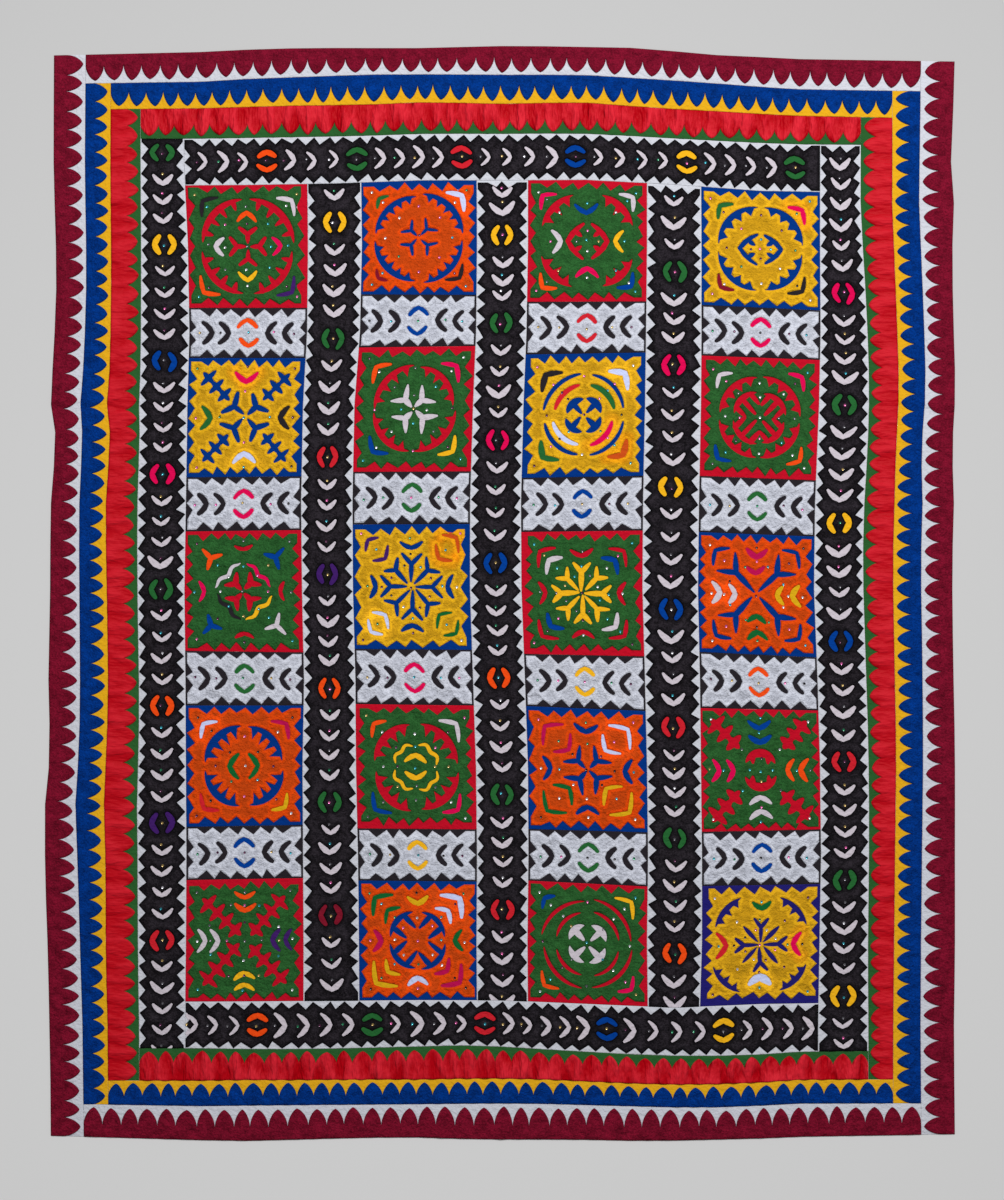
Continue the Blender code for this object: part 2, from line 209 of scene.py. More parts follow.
class Panel:
    """A panel's four sides in the quilt, and the flat cloth that is laid between them.

    Its face puffs up between its seams and ripples slowly. A border's is gathered too, and less so down the
    sides of the quilt.
    """

    seam_height = 2.5 * MM
    puff = 0.8 * MM
    ripple = 0.25 * MM
    ripple_length = 310 * MM
    side_gather = 0.5
    thinnest = 0.1 * MM

    def __init__(self, node, exposed=()):
        self.node = node
        self.exposed = exposed
        self.gather = None
        self.sides = four_sides(underside_loop(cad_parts[node].data))
        runs = [run_of(side)[-1] for side in self.sides]
        self.width = (runs[0] + runs[2]) / 2
        self.length = (runs[1] + runs[3]) / 2
        self.middle = np.mean([point_along(side, np.array(0.5)) for side in self.sides], axis=0)
        self.rng = np.random.default_rng(sum(ord(letter) * k for k, letter in enumerate(node, 7)))

    def laid(self, flat):
        """Places in the quilt of points of the flat cloth, which is centred on the panel."""
        s, t = self.shares(flat)
        foot, right, head, left = self.sides
        to_right, to_head = s[:, None], t[:, None]
        to_left, to_foot = 1 - to_right, 1 - to_head
        across = to_foot * point_along(foot, s) + to_head * point_along(head, s)
        down = to_left * point_along(left, t) + to_right * point_along(right, t)
        straight = to_left * to_foot * foot[0] + to_right * to_foot * foot[-1]
        straight = straight + to_left * to_head * head[0] + to_right * to_head * head[-1]
        return across + down - straight

    def shares(self, flat):
        s = np.clip(flat[:, 0] / self.width + 0.5, 0, 1)
        t = np.clip(flat[:, 1] / self.length + 0.5, 0, 1)
        return s, t

    def draped(self, flat, drop):
        """Vertices in the quilt of points of the flat cloth that lie drop below the quilt's face."""
        s, t = self.shares(flat)
        places = self.laid(flat)
        puffed = self.puff * (1 - (2 * s - 1) ** 4) * (1 - (2 * t - 1) ** 4)
        x, y = places.T
        wave = 2 * np.pi / self.ripple_length
        face = self.seam_height + puffed
        # Two slow waves that cross each other aslant.
        face += self.ripple * np.sin(wave * (x + 0.4 * y)) * np.sin(wave * (0.9 * y - 0.3 * x) + 1)
        for crease in CREASES:
            start, end = (np.array(point) * MM for point in (crease[:2], crease[2:4]))
            run = end - start
            share = np.clip((places - start) @ run / (run @ run), 0, 1)
            away = np.linalg.norm(places - start - share[:, None] * run, axis=1) / MM
            face += crease.rise * MM * np.exp(-((away / crease.half_width) ** 2))
        if self.gather:
            level = self.width > self.length
            along = (s * self.width if level else t * self.length) / self.gather.pitch / MM
            sway = 1 + 0.5 * np.sin(1.7 * along + 3 * (t if level else s))
            rise = self.gather.rise * MM * (1 if level else self.side_gather)
            face += rise * sway * np.cos(2 * np.pi * (along - 0.5))
        away = {"left": s * self.width, "right": (1 - s) * self.width,
                "foot": t * self.length, "head": (1 - t) * self.length}
        sizes = bpy.context.scene.quilt_sizes
        for side in self.exposed:
            inside = np.clip(away[side] / sizes.edge_round, 0, 1)
            face = face * np.sqrt(1 - (1 - inside) ** 2)
        least = self.thinnest + (sizes.ground_drop - drop) / 2
        return np.column_stack((places, np.maximum(face - drop, least)))


# ---- shapes that are cut ----

Strip = namedtuple("Strip", "line widths")
Cut = namedtuple("Cut", "cloth strips")
STRIP_POINTS = 11
FULLER = 1.12  # Wings narrow towards their ends, so they start this much wider than they look.


def turned(points, degrees):
    angle = np.radians(degrees)
    return np.array(points) @ np.array(((np.cos(angle), np.sin(angle)), (-np.sin(angle), np.cos(angle))))


def leftward(steps):
    return np.stack((-steps[:, 1], steps[:, 0]), axis=1)


def outward(radius, degrees):
    """The point at a radius from the middle, in a direction."""
    return turned((radius, 0.0), degrees)


def leaf(start, end, width, belly=0.45, bow=0.0, blunt=0.6):
    """A petal from start to end, widest at belly, and bowed to its left by a share of its length."""
    share = (1 - np.cos(np.pi * np.arange(STRIP_POINTS) / (STRIP_POINTS - 1))) / 2
    start, end = np.array(start, float), np.array(end, float)
    left = np.array((start[1] - end[1], end[0] - start[0]))
    line = start + share[:, None] * (end - start) + (4 * bow * share * (1 - share))[:, None] * left
    widths = width * np.sin(np.pi * share ** (np.log(0.5) / np.log(belly))) ** blunt
    return Strip(line, widths)


def limb(start, end, width, taper=0.8, bow=0.0, heel=0.44):
    """A strip with round ends. Its near end is centred on start, where heel gives its half width as a share
    of the width, and its far end reaches end, narrowed by taper."""
    start, end = np.array(start, float), np.array(end, float)
    run = np.linalg.norm(end - start)
    near, far = heel * width, min(width * taper / 2, 0.45 * run)
    cap = np.radians((0, 35, 65, 90))
    middle = (run - far) * np.array((0.35, 0.7))
    reach = np.concatenate((-near * np.cos(cap), middle, run - far * (1 - np.sin(cap))))
    belly = (0.49 * width, 0.3 * width + 0.4 * far)
    widths = np.concatenate((near * np.sin(cap), belly, far * np.cos(cap)))
    toward = (end - start) / run
    swing = np.clip(reach / run, 0, 1)
    line = start + reach[:, None] * toward
    line += (4 * bow * run * swing * (1 - swing))[:, None] * np.array((-toward[1], toward[0]))
    return Strip(line, 2 * widths)


def thorn(start, end, width):
    """A tooth that is widest on start and runs to a point at end, a little hollow on both sides."""
    share = np.array((0, 0.12, 0.3, 0.5, 0.7, 0.86, 1))
    line = np.array(start, float) + share[:, None] * (np.array(end, float) - start)
    return Strip(line, width * (1 - share) ** 1.15)


def arc(radius, middle, half_angle, width, blunt=0.6, bumps=0.0, flat=0.0):
    """A petal bent along a circle about the middle of the block, and straightened by flat, which is 1 for a
    chord. Bumps make it swing in and out twice."""
    share = (1 - np.cos(np.pi * np.arange(2 * STRIP_POINTS) / (2 * STRIP_POINTS - 1))) / 2
    turns = np.radians(half_angle * (1 - 2 * share))
    swing = (np.cos(turns[0]) / np.cos(turns)) ** flat - bumps * np.cos(4 * np.pi * share)
    angles = np.radians(middle) + turns
    line = (radius * swing)[:, None] * np.stack((np.cos(angles), np.sin(angles)), axis=1)
    return Strip(line, width * np.sin(np.pi * share) ** blunt)


def wings(cloth, points, width, taper=0.8, bow=0.09, heel=0.4):
    """Two limbs that meet at the first of three points, notched inside and rounded outside."""
    vertex, *tips = points
    one, other = np.array(tips, float) - vertex
    side = np.sign(one[0] * other[1] - one[1] * other[0])
    limbs = (limb(vertex, tip, width, taper, sense * bow, heel) for tip, sense in zip(tips, (-side, side)))
    return Cut(cloth, list(limbs))


def ribbon_outline(strip, margin=0.0):
    """Outline of a strip, grown all round by a margin."""
    line, half = strip.line, strip.widths / 2 + margin
    tangent = np.gradient(line, axis=0)
    tangent /= np.linalg.norm(tangent, axis=1, keepdims=True)
    if margin:
        line = line.copy()
        line[0] -= margin * tangent[0]
        line[-1] += margin * tangent[-1]
    offset = leftward(tangent) * half[:, None]
    ring = np.vstack((line + offset, (line - offset)[::-1]))
    apart = np.linalg.norm(ring - np.roll(ring, 1, axis=0), axis=1)
    return ring[apart > 1e-5]


def around(angles, *sizes):
    """For each angle its own cloth and sizes. A tuple, or a string of cloths, gives one to each in turn, and
    "none" leaves a shape out."""
    columns = []
    for values in sizes:
        several = tuple(values.split()) if isinstance(values, str) else values
        several = several if isinstance(several, tuple) else (several,)
        columns.append(several * len(angles) if len(several) == 1 else several)
    return [row for row in zip(angles, *columns) if row[1] != "none"]


def chevrons(cloths, apex, tips, span, width):
    """Wings at the head, right, foot and left, with the vertex at radius apex and the ends at tips."""
    shapes = []
    for angle, cloth, near, far, wide, thick in around(AXES, cloths, apex, tips, span, width):
        points = [turned(p, angle) for p in ((near, 0), (far, wide), (far, -wide))]
        shapes.append(wings(cloth, points, FULLER * thick, 0.5, 0.07))
    return shapes


def corners(cloths, place, leg, width, flare=0.04):
    """Wings round each corner. A negative leg turns them to face the corner instead."""
    shapes = []
    for angle, cloth, spot, reach, thick in around(DIAGONALS, cloths, place, leg, width):
        drift = spot + flare * np.sign(reach)
        spots = ((spot, spot), (spot - reach, drift), (drift, spot - reach))
        points = [turned(p, angle - 45) for p in spots]
        shapes.append(wings(cloth, points, FULLER * thick, 0.5, 0.035))
    return shapes


def ring(cloths, radius, width, half_angle=36, teeth=0, tooth=0.15, tooth_width=0.08, angles=DIAGONALS,
         bumps=0.0, flat=0.0, blunt=0.6, fan=1.0, point=0.45, shorten=0.25):
    """Arcs about the middle with teeth that point inwards, or lie side by side where fan is 0. The outer
    teeth are shorter. Where point is 0 the teeth are thorns."""
    shapes = []
    wide = 1.15 * tooth_width
    inset = max(0, tooth_width - width) / 2 if point else 0
    for angle, cloth in around(angles, cloths):
        strips = [arc(radius, angle, half_angle, 1.15 * width, blunt, bumps, flat)]
        for k in range(teeth):
            share = 2 * (k + 0.5) / teeth - 1
            toward = angle + half_angle * 0.92 * share
            root = outward(radius - inset, toward)
            end = root - outward(tooth * (1 - shorten * abs(share)), angle + (toward - angle) * fan)
            strips.append(limb(root, end, wide, point) if point else thorn(root, end, wide))
        shapes.append(Cut(cloth, strips))
    return shapes


def sprigs(cloths, angles, stem, arm, spread, width, tip=0.9, stalk=0.4):
    """A stem that runs outwards and forks into two arms, at each of the angles."""
    shapes = []
    for angle, cloth in around(angles, cloths):
        root, knot = (outward(radius, angle) for radius in stem)
        ends = (turned((arm, side * spread), angle) for side in (1, -1))
        strips = [limb(knot, root, width, stalk), *(limb(knot, end, width, tip) for end in ends)]
        shapes.append(Cut(cloth, strips))
    return shapes


def leaves(cloth, angles, start, end, width):
    """Plain petals that point outwards at each of the angles."""
    return [Cut(cloth, [leaf(outward(start, angle), outward(end, angle), width, 0.55)]) for angle in angles]


def feathers(cloth, start, end, crosses, lobe, width):
    """Four-petalled crosses strung along each diagonal, wider outwards."""
    shapes = []
    step = (end - start) / crosses
    for angle in DIAGONALS:
        strips = []
        for k in range(crosses):
            at = start + (k + 0.5) * step
            reach = lobe * (0.88 + 0.24 * k / crosses)
            for ends in (((at, -reach), (at, reach)), ((at - 0.66 * step, 0), (at + 0.66 * step, 0))):
                strips.append(leaf(*(turned(p, angle) for p in ends), width, 0.5, 0.0, 0.5))
        shapes.append(Cut(cloth, strips))
    return shapes


def brackets(cloth, apex, tips, span, width, tooth):
    """Two facing brackets, each with a pair of teeth on its inside."""
    shapes = chevrons(f"none {cloth} none {cloth}", apex, tips, span, width)
    for shape, side in zip(shapes, (1, -1)):
        for rise in (1, -1):
            root = np.array((side * (0.5 * apex + 0.5 * tips), rise * 0.5 * span))
            shape.strips.append(leaf(root, root * (1 - tooth), width, 0.3))
    return shapes


# ---- the blocks ----

# A block's two cloths, how wide its rims are at the left, foot, right and head in mm, about how many teeth a
# side has, its motifs, in shares of half its size, and the radii of the sequins on its axes, on its diagonals
# and halfway between.
Block = namedtuple("Block", "top ground rims teeth motifs axis diagonal between", defaults=((), (), ()))

BLOCKS = {
    "block_r1_c1": Block("green", "red", (5, 9, 12, 4), 5.6, [
        *ring("red", 0.765, 0.095, 40, 4, 0.20, 0.08, point=0.4),
        *sprigs("red", AXES, (0.04, 0.19), 0.31, 0.155, 0.08, 0.7),
        *chevrons("orange magenta yellow white", 0.55, 0.40, 0.155, 0.075),
        *corners("black white purple orange", 0.74, 0.27, 0.07),
    ], (0.37, 0.64), (0.51, 0.93, 1.17)),
    "block_r1_c2": Block("orange", "blue", (4, 6, 6, 9), 6.2, [
        *ring("blue", 0.755, 0.088, 40, 5, 0.165, 0.125, point=0),
        *sprigs("blue", DIAGONALS, (0.05, 0.19), 0.31, 0.15, 0.062, 0.6),
        *corners("green pale_blue black maroon", (0.70, 0.73, 0.71, 0.71), (0.17, 0.27, 0.25, 0.17),
                 (0.065, 0.085, 0.07, 0.06)),
    ], (0.58,), (0.50, 0.87, 1.17)),
    "block_r1_c3": Block("green", "red", (6, 8, 9, 6), 6.4, [
        *ring("red", 0.795, 0.10, 26, 3, 0.19, 0.14, blunt=0.8, point=0),
        *brackets("red", 0.33, 0.06, 0.29, 0.085, 0.5),
        *chevrons("blue yellow magenta white", 0.46, 0.61, 0.19, 0.08),
        *corners("magenta white blue orange", 0.75, 0.24, 0.07, 0.02),
    ], (0.18, 0.62), (0.68, 0.97, 1.16)),
    "block_r1_c4": Block("yellow", "blue", (5, 6, 5, 8), 6.0, [
        *ring("blue", 0.715, 0.085, 40, 4, 0.165, 0.19, blunt=0.75, point=0),
        *brackets("blue", 0.35, 0.06, 0.25, 0.08, 0.5),
        *corners("green magenta black maroon", 0.69, 0.24, 0.075),
    ], (0.17, 0.58), (0.47, 0.87, 1.16)),
    "block_r2_c1": Block("yellow", "blue", (5, 9, 10, 7), 6.2, [
        *feathers("blue", 0.44, 1.01, 3, 0.165, 0.092),
        *sprigs("blue", DIAGONALS, (0.05, 0.26), 0.37, 0.225, 0.095, 0.6),
        *chevrons("magenta black pale_blue green", 0.61, 0.77, 0.19, 0.09),
    ], (0.43, 0.84), (1.17,)),
    "block_r2_c2": Block("green", "red", (7, 9, 8, 10), 6.2, [
        *ring("red", 0.67, 0.085, 42, 4, 0.19, 0.13, point=0),
        *sprigs("white", DIAGONALS, (0.04, 0.20), 0.36, 0.19, 0.095, 0.35),
        *corners("orange magenta yellow blue", 0.68, 0.26, 0.075),
    ], (0.22, 0.66), (0.5, 0.86, 1.16)),
    "block_r2_c3": Block("yellow", "blue", (11, 8, 9, 8), 6.4, [
        *ring("blue", 0.66, 0.06, 37, blunt=0.3),
        *ring("rust green magenta pale_blue", 0.49, 0.075, 34, blunt=0.3),
        *ring("blue", 0.275, 0.10, 38, 1, 0.22, 0.085, blunt=0.65),
        *corners("black pale_blue copper green", 0.66, 0.27, 0.095),
    ], (0.63,), (0.36, 0.54, 0.72, 1.13)),
    "block_r2_c4": Block("green", "red", (9, 12, 10, 8), 7.0, [
        *ring("red", 0.67, 0.085, 40, 4, 0.17, 0.17, point=0),
        *ring("red", 0.43, 0.09, 38, 3, 0.36, 0.08, fan=0.1, point=0.6, blunt=0.7, shorten=0.5),
        *corners("white magenta orange blue", 0.70, 0.23, 0.07),
    ], (0.34, 0.58), (0.56, 0.82, 1.12)),
    "block_r3_c1": Block("green", "red", (5, 6, 8, 7), 6.6, [
        *sprigs("red", DIAGONALS, (0.04, 0.18), 0.30, 0.15, 0.10, 0.45, 0.6),
        *ring("white magenta yellow black", 0.50, 0.064, 38, bumps=0.055, flat=1, blunt=0.4),
        *sprigs("orange blue white blue", (315, 225, 135, 45), (-1.0, -0.79), -0.69, 0.18, 0.085, 0.5, 0.5),
        *chevrons("red red red magenta", (0.70, 0.64, 0.70, 0.66), (0.77, 0.71, 0.78, 0.75), 0.165, 0.07),
    ], (0.40, 0.83), (0.36, 0.62, 1.14)),
    "block_r3_c2": Block("yellow", "blue", (5, 8, 10, 10), 5.2, [
        *sprigs("blue", AXES, (0.07, 0.36), 0.54, 0.18, 0.08, 0.55),
        *sprigs("blue", DIAGONALS, (0.07, 0.38), 0.51, 0.17, 0.08, 0.55),
        *chevrons("blue", 0.62, 0.72, 0.19, 0.08),
        *corners("purple copper bottle pale_blue", (0.75, 0.77, 0.74, 0.72), (0.19, 0.24, 0.22, 0.20), 0.06),
        *corners("purple copper bottle pale_blue", 0.45, (-0.22, -0.23, -0.23, -0.22), 0.06),
    ], (0.52, 0.76), (0.85, 1.20), (0.35,)),
    "block_r3_c3": Block("green", "red", (13, 12, 6, 8), 6.8, [
        *sprigs("yellow", AXES, (0.04, 0.34), 0.49, 0.14, 0.09, 0.5),
        *sprigs("yellow", DIAGONALS, (0.06, 0.34), 0.49, 0.14, 0.085, 0.5),
        *chevrons("red", 0.61, 0.72, 0.18, 0.075),
        *corners("red", 0.69, 0.27, 0.065),
        *corners("white blue white blue", 0.54, 0.23, 0.08),
    ], (0.44, 0.68), (0.57, 0.86, 1.15), (0.30,)),
    "block_r3_c4": Block("orange", "blue", (5, 8, 6, 6), 6.6, [
        *sprigs("blue", DIAGONALS, (0.07, 0.50), 0.74, 0.215, 0.10, 0.3, 0.3),
        *corners("blue", 0.71, 0.26, 0.07),
        *chevrons("cerise mustard bottle white", 0.36, 0.48, 0.165, 0.085),
        *chevrons("cerise mustard bottle white", 0.62, 0.76, 0.175, 0.09),
    ], (0.54, 0.77), (0.77, 1.13), (0.49,)),
    "block_r4_c1": Block("orange", "blue", (6, 7, 5, 5), 6.2, [
        *ring("blue", 0.66, 0.105, 38, 4, 0.24, 0.125, blunt=0.75, point=0),
        *chevrons("none bottle none bottle", 0.24, 0.07, 0.22, 0.085),
        *corners("pale_blue cerise mustard rust", 0.70, 0.25, 0.07),
    ], (0.50,), (0.33, 0.80, 1.15)),
    "block_r4_c2": Block("green", "red", (8, 14, 9, 8), 6.8, [
        *ring("red", 0.70, 0.10, 39, 4, 0.23, 0.15, blunt=0.7, point=0),
        *ring("yellow", 0.375, 0.055, 36, bumps=0.06, blunt=0.4),
        *chevrons("yellow none yellow none", 0.19, 0.07, 0.185, 0.08),
        *corners("orange white magenta blue", 0.69, (0.22, 0.30, 0.26, 0.27), 0.07),
    ], (0.32, 0.55), (0.45, 0.80, 1.15)),
    "block_r4_c3": Block("orange", "blue", (5, 8, 6, 8), 5.4, [
        *sprigs("blue", DIAGONALS, (0.04, 0.21), 0.37, 0.205, 0.09, 0.35),
        *chevrons("blue", 0.62, 0.75, 0.20, 0.085),
        *corners("cerise pale_blue mustard bottle", 0.69, 0.33, 0.065),
        *corners("cerise pale_blue mustard bottle", 0.31, -0.27, 0.065),
    ], (0.46, 0.77), (0.34, 0.66, 1.12)),
    "block_r4_c4": Block("green", "red", (4, 6, 4, 5), 6.8, [
        *feathers("red", 0.54, 1.13, 3, 0.19, 0.125),
        *ring("red", 0.27, 0.12, 70, 2, 0.17, 0.09, angles=(90, 270), blunt=0.7, fan=0.2),
        *chevrons("blue orange white magenta", 0.45, 0.57, 0.19, 0.085),
        *chevrons("blue orange white magenta", 0.68, 0.81, 0.19, 0.085),
    ], (0.19, 0.62, 0.85), (0.47, 1.16)),
    "block_r5_c1": Block("green", "red", (6, 8, 9, 12), 6.4, [
        *feathers("red", 0.15, 0.97, 4, 0.185, 0.105),
        *chevrons("orange purple yellow white", (0.48, 0.47, 0.53, 0.45), (0.60, 0.61, 0.64, 0.59),
                  0.185, 0.08),
        *chevrons("orange purple yellow white", (0.70, 0.69, 0.72, 0.67), (0.80, 0.81, 0.82, 0.80),
                  0.18, 0.075),
    ], (0.30, 0.58, 0.82), (1.14,), (0.62,)),
    "block_r5_c2": Block("orange", "blue", (6, 6, 4, 6), 6.6, [
        *ring("blue", 0.48, 0.08, 38, 2, 0.35, 0.085, fan=0.25, point=0.4, blunt=0.7),
        *chevrons("mustard bottle pale_blue cerise", 0.62, 0.75, 0.175, 0.085),
        *corners("bottle pale_blue cerise mustard", 0.71, (0.31, 0.33, 0.34, 0.36),
                 (0.075, 0.09, 0.08, 0.08)),
        *corners("bottle pale_blue cerise mustard", 0.51, 0.22, 0.07),
    ], (0.38, 0.80), (0.34, 0.57, 0.87, 1.14)),
    "block_r5_c3": Block("green", "red", (5, 9, 6, 5), 6.6, [
        *ring("red", 0.73, 0.055, 38, blunt=0.5),
        *ring("red", 0.53, 0.055, 35, blunt=0.5),
        *ring("white", 0.31, 0.10, 36, 1, 0.25, 0.09, blunt=0.8),
        *corners("blue yellow magenta orange", 0.73, (0.18, 0.28, 0.24, 0.24), 0.07),
    ], (0.72,), (0.37, 0.60, 0.87, 1.14)),
    "block_r5_c4": Block("yellow", "indigo", (13, 15, 6, 5), 6.6, [
        *sprigs("indigo", AXES, (0.05, 0.29), 0.44, 0.12, 0.07, 0.6),
        *leaves("indigo", DIAGONALS, 0.06, 0.43, 0.075),
        *ring("indigo", 0.845, 0.08, 22, 3, 0.15, 0.12, blunt=0.7, point=0),
        *chevrons("bottle magenta pale_blue rust", (0.62, 0.55, 0.53, 0.58), (0.73, 0.69, 0.68, 0.75),
                  (0.15, 0.2, 0.2, 0.21), (0.085, 0.085, 0.12, 0.085)),
    ], (0.45, 0.72), (0.57, 1.12), (0.27,)),
}

# ---- the bands and bars ----

# Cloth of each coloured bracket pair, its middle in mm along the band from the middle of the quilt, and how
# large it is across and along the band, as a share of the usual.
Pair = namedtuple("Pair", "cloth mark size", defaults=((1.0, 1.0),))
BAND_BRACKETS = {
    "black_band_1": (("green", 881, (1.18, 0.8)), ("yellow", 697), ("blue", 465), ("magenta", 239),
                     ("green", 9), ("orange", -225), ("purple", -459), ("rust", -693)),
    "black_band_2": (("yellow", 743), ("green", 511), ("rust", 273), ("purple", 39), ("orange", -189),
                     ("green", -417), ("maroon", -643)),
    "black_band_3": (("yellow", 717), ("green", 541), ("magenta", 307), ("blue", 61), ("orange", -169),
                     ("green", -403), ("rust", -633)),
    "black_band_4": (("green", 643), ("magenta", 457), ("yellow", 213), ("blue", -31), ("rust", -267),
                     ("green", -489), ("orange", -719)),
    "black_band_5": (("magenta", 601), ("green", 377), ("yellow", 141), ("blue", -95), ("rust", -337),
                     ("green", -573), ("yellow", -805)),
    "black_band_top": (("orange", -466), ("green", -286), ("rust", -76), ("blue", 150), ("yellow", 374),
                       ("green", 590)),
    "black_band_bottom": (("orange", -486), ("green", -256), ("rust", -30), ("blue", 214), ("yellow", 447)),
}
# The white birds of a band, in mm: from one to the next, from a bracket pair's middle to the birds beside it,
# from the band's low and high end to the nearest, their size as a share of the usual, and where others lie.
Flock = namedtuple("Flock", "pitch clear low high size more", defaults=(0.88, ()))
FLOCKS = {
    "black_band_1": Flock(42, 53, -12, 14, 0.82), "black_band_2": Flock(43, 55, 18, 18),
    "black_band_3": Flock(43, 55, -6, 18, 0.88, (803,)), "black_band_4": Flock(43, 55, 8, 18),
    "black_band_5": Flock(40.8, 55, 2, 18), "black_band_top": Flock(40.5, 47, 36, 18, 0.82),
    "black_band_bottom": Flock(41, 47, 14, 14, 0.88),
}

# Where the vertex and the two tips of a shape lie in mm: one bracket of a band's pair and one of a bar's,
# from the pair's middle, and a bird from its own.
BRACKET = ((18.8, 0), (7.2, 19.6), (7.2, -19.6))
BAR_BRACKET = ((0, 26.5), (19, 10), (-19, 10))
BIRD = ((0, -9.6), (-23.5, 12.8), (23.5, 12.8))
WING_WIDTH = 11.5
BAR_BRACKET_WIDTH = 9.5
BIRD_WIDTH = 12.8
CROSSWISE_BIRD_WIDTH = 11.4
BIRD_TO_SEQUIN = 10

# Cloth of each white bar's bracket pair, a row of the quilt to a line.
BAR_BRACKETS = (
    "orange blue rust magenta",
    "magenta green blue green",
    "green magenta yellow orange",
    "blue yellow green blue",
)
# Black wings of a white bar in mm: where the vertex and the tips lie along the bar, and how far to each side
# of its middle the tips lie.
BAR_WINGS = ((-39, -59, 21), (-73, -92, 21), (39, 58, 21), (72, 91, 21))
BAR_SEQUINS = (-96, -55, 0, 54, 91)

# Scalloped borders: the cloths, the pitch of the tongues in mm, how much of the strip's width lies outside
# the notches and the tips, how round the tongues are, and how high they puff in mm.
Border = namedtuple("Border", "top ground pitch notch tip round rise")
BORDERS = {
    "maroon": Border("maroon", "white", 37, 0.395, 0.915, 0.5, 0.22),
    "blue": Border("blue", "yellow", 34, 0.365, 0.895, 0.58, 0.22),
    "red": Border("red", "green", 35.5, 0.54, 0.92, 0.62, 1.1),
}


# ---- outlines ----

# A side of a cloth in mm: how wide its rim is, how much further in its notches go, how many there are, and
# how far from its ends they start.
Side = namedtuple("Side", "rim depth teeth margin")
BLOCK_TOOTH = 13
BLOCK_MARGIN = 25
BAND_TOOTH_PITCH = 31.3
BAR_SIDES = (Side(3, 14.5, 6, 22), Side(3.5, 13, 2, 24)) * 2
# How far a hand strays from even teeth and tongues: shares of the pitch for places along a side, of the depth
# for a notch, of the rim for a tooth, and of the strip's width for a tongue.
TOOTH_WANDER = (-0.12, 0.12)
NOTCH_DEPTH = (0.8, 1.15)
TOOTH_REACH = (0.3, 0.9)
TONGUE_WANDER = (-0.09, 0.09)
TONGUE_NOTCH = (-0.025, 0.025)
TIP_WANDER = (-0.05, 0.05)
TIP_REACH = (-0.03, 0.02)
# A tongue's flank: its points, how much they crowd at its root, the radians that it bends through, and how
# much of its rise is straight and how much bent.
FLANK_POINTS = 9
FLANK_CROWDING = 1.7
FLANK_TURN = 1.45
FLANK_PARTS = (0.15, 0.85)


def stroll(corner_points, spacing):
    """Points along a closed outline, no further apart than the spacing, counter-clockwise."""
    x, y = corner_points.T
    if np.sum(x * np.roll(y, -1) - np.roll(x, -1) * y) < 0:
        corner_points = corner_points[::-1]
    ring = []
    for start, end in zip(corner_points, np.roll(corner_points, -1, axis=0)):
        count = int(np.ceil(np.linalg.norm(end - start) / spacing - 1e-4))
        ring += [start + (end - start) * k / count for k in range(count)]
    return np.array(ring)


def toothed_side(run, rim, depth, teeth, margin, rng):
    """A side that zigzags inwards: places along it from 0 to run, and how far in each lies."""
    if not teeth:
        return [(margin, rim), (run - margin, rim)]
    pitch = (run - 2 * margin) / teeth
    points = [(margin, rim)]
    for k in range(teeth):
        wander = rng.uniform(*TOOTH_WANDER, 2) * pitch
        notch = 0.7 * rim + depth * rng.uniform(*NOTCH_DEPTH)
        points.append((margin + (k + 0.5) * pitch + wander[0], notch))
        if k < teeth - 1:
            points.append((margin + (k + 1) * pitch + wander[1], rim * rng.uniform(*TOOTH_REACH)))
    points.append((run - margin, rim))
    return points


def toothed_outline(panel, sides):
    """Outline of a cloth with the given sides, from the foot round to the left."""
    w, h = panel.width, panel.length
    starts = ((-w / 2, -h / 2), (w / 2, -h / 2), (w / 2, h / 2), (-w / 2, h / 2))
    rims = [side.rim * MM for side in sides]
    outline = []
    for k, side in enumerate(sides):
        after = (k + 1) % 4
        along = outward(1.0, 90 * k)
        inward = turned((0.0, 1.0), 90 * k)
        margin = max(side.margin * MM, rims[k - 1] + 1 * MM, rims[after] + 1 * MM)
        teeth = toothed_side((w, h)[k % 2], rims[k], side.depth * MM, side.teeth, margin, panel.rng)
        outline += [starts[k] + place * along + depth * inward for place, depth in teeth]
        outline.append(starts[after] + inward * rims[k] - along * rims[after])
    return np.array(outline)


def scalloped_outline(panel, border, side):
    """Outline of a border strip's top cloth: straight outside, with pointed tongues inside."""
    depth, run = sorted((panel.width, panel.length))
    count = round(run / (border.pitch * MM))
    pitch = run / count
    share = np.linspace(0, 1, FLANK_POINTS)[:, None] ** FLANK_CROWDING
    bulge = (np.sin(FLANK_TURN * share) / np.sin(FLANK_TURN)) ** border.round
    rise = np.hstack((share, FLANK_PARTS[0] * share + FLANK_PARTS[1] * bulge))
    points = []
    spots = np.arange(count + 1) * pitch
    spots[1:-1] += panel.rng.uniform(*TONGUE_WANDER, count - 1) * pitch
    notch = depth * (border.notch + panel.rng.uniform(*TONGUE_NOTCH, count + 1))
    for k in range(count):
        tip = np.array(((spots[k] + spots[k + 1]) / 2 + panel.rng.uniform(*TIP_WANDER) * pitch,
                        depth * (border.tip + panel.rng.uniform(*TIP_REACH))))
        for start, ascending in ((k, True), (k + 1, False)):
            root = np.array((spots[start], notch[start]))
            flank = root + rise * (tip - root)
            points += list(flank if ascending else flank[::-1][1:])
    line = np.array(points)
    outline = np.vstack(([(0, 0)], line, [(run, 0)]))[::-1]
    outline = outline - (run / 2, depth / 2)
    if side == "top":
        return outline * (1, -1)
    if side == "bottom":
        return outline[::-1]
    swapped = outline[:, ::-1]
    return swapped if side == "left" else (swapped * (-1, 1))[::-1]


# ---- cloths ----

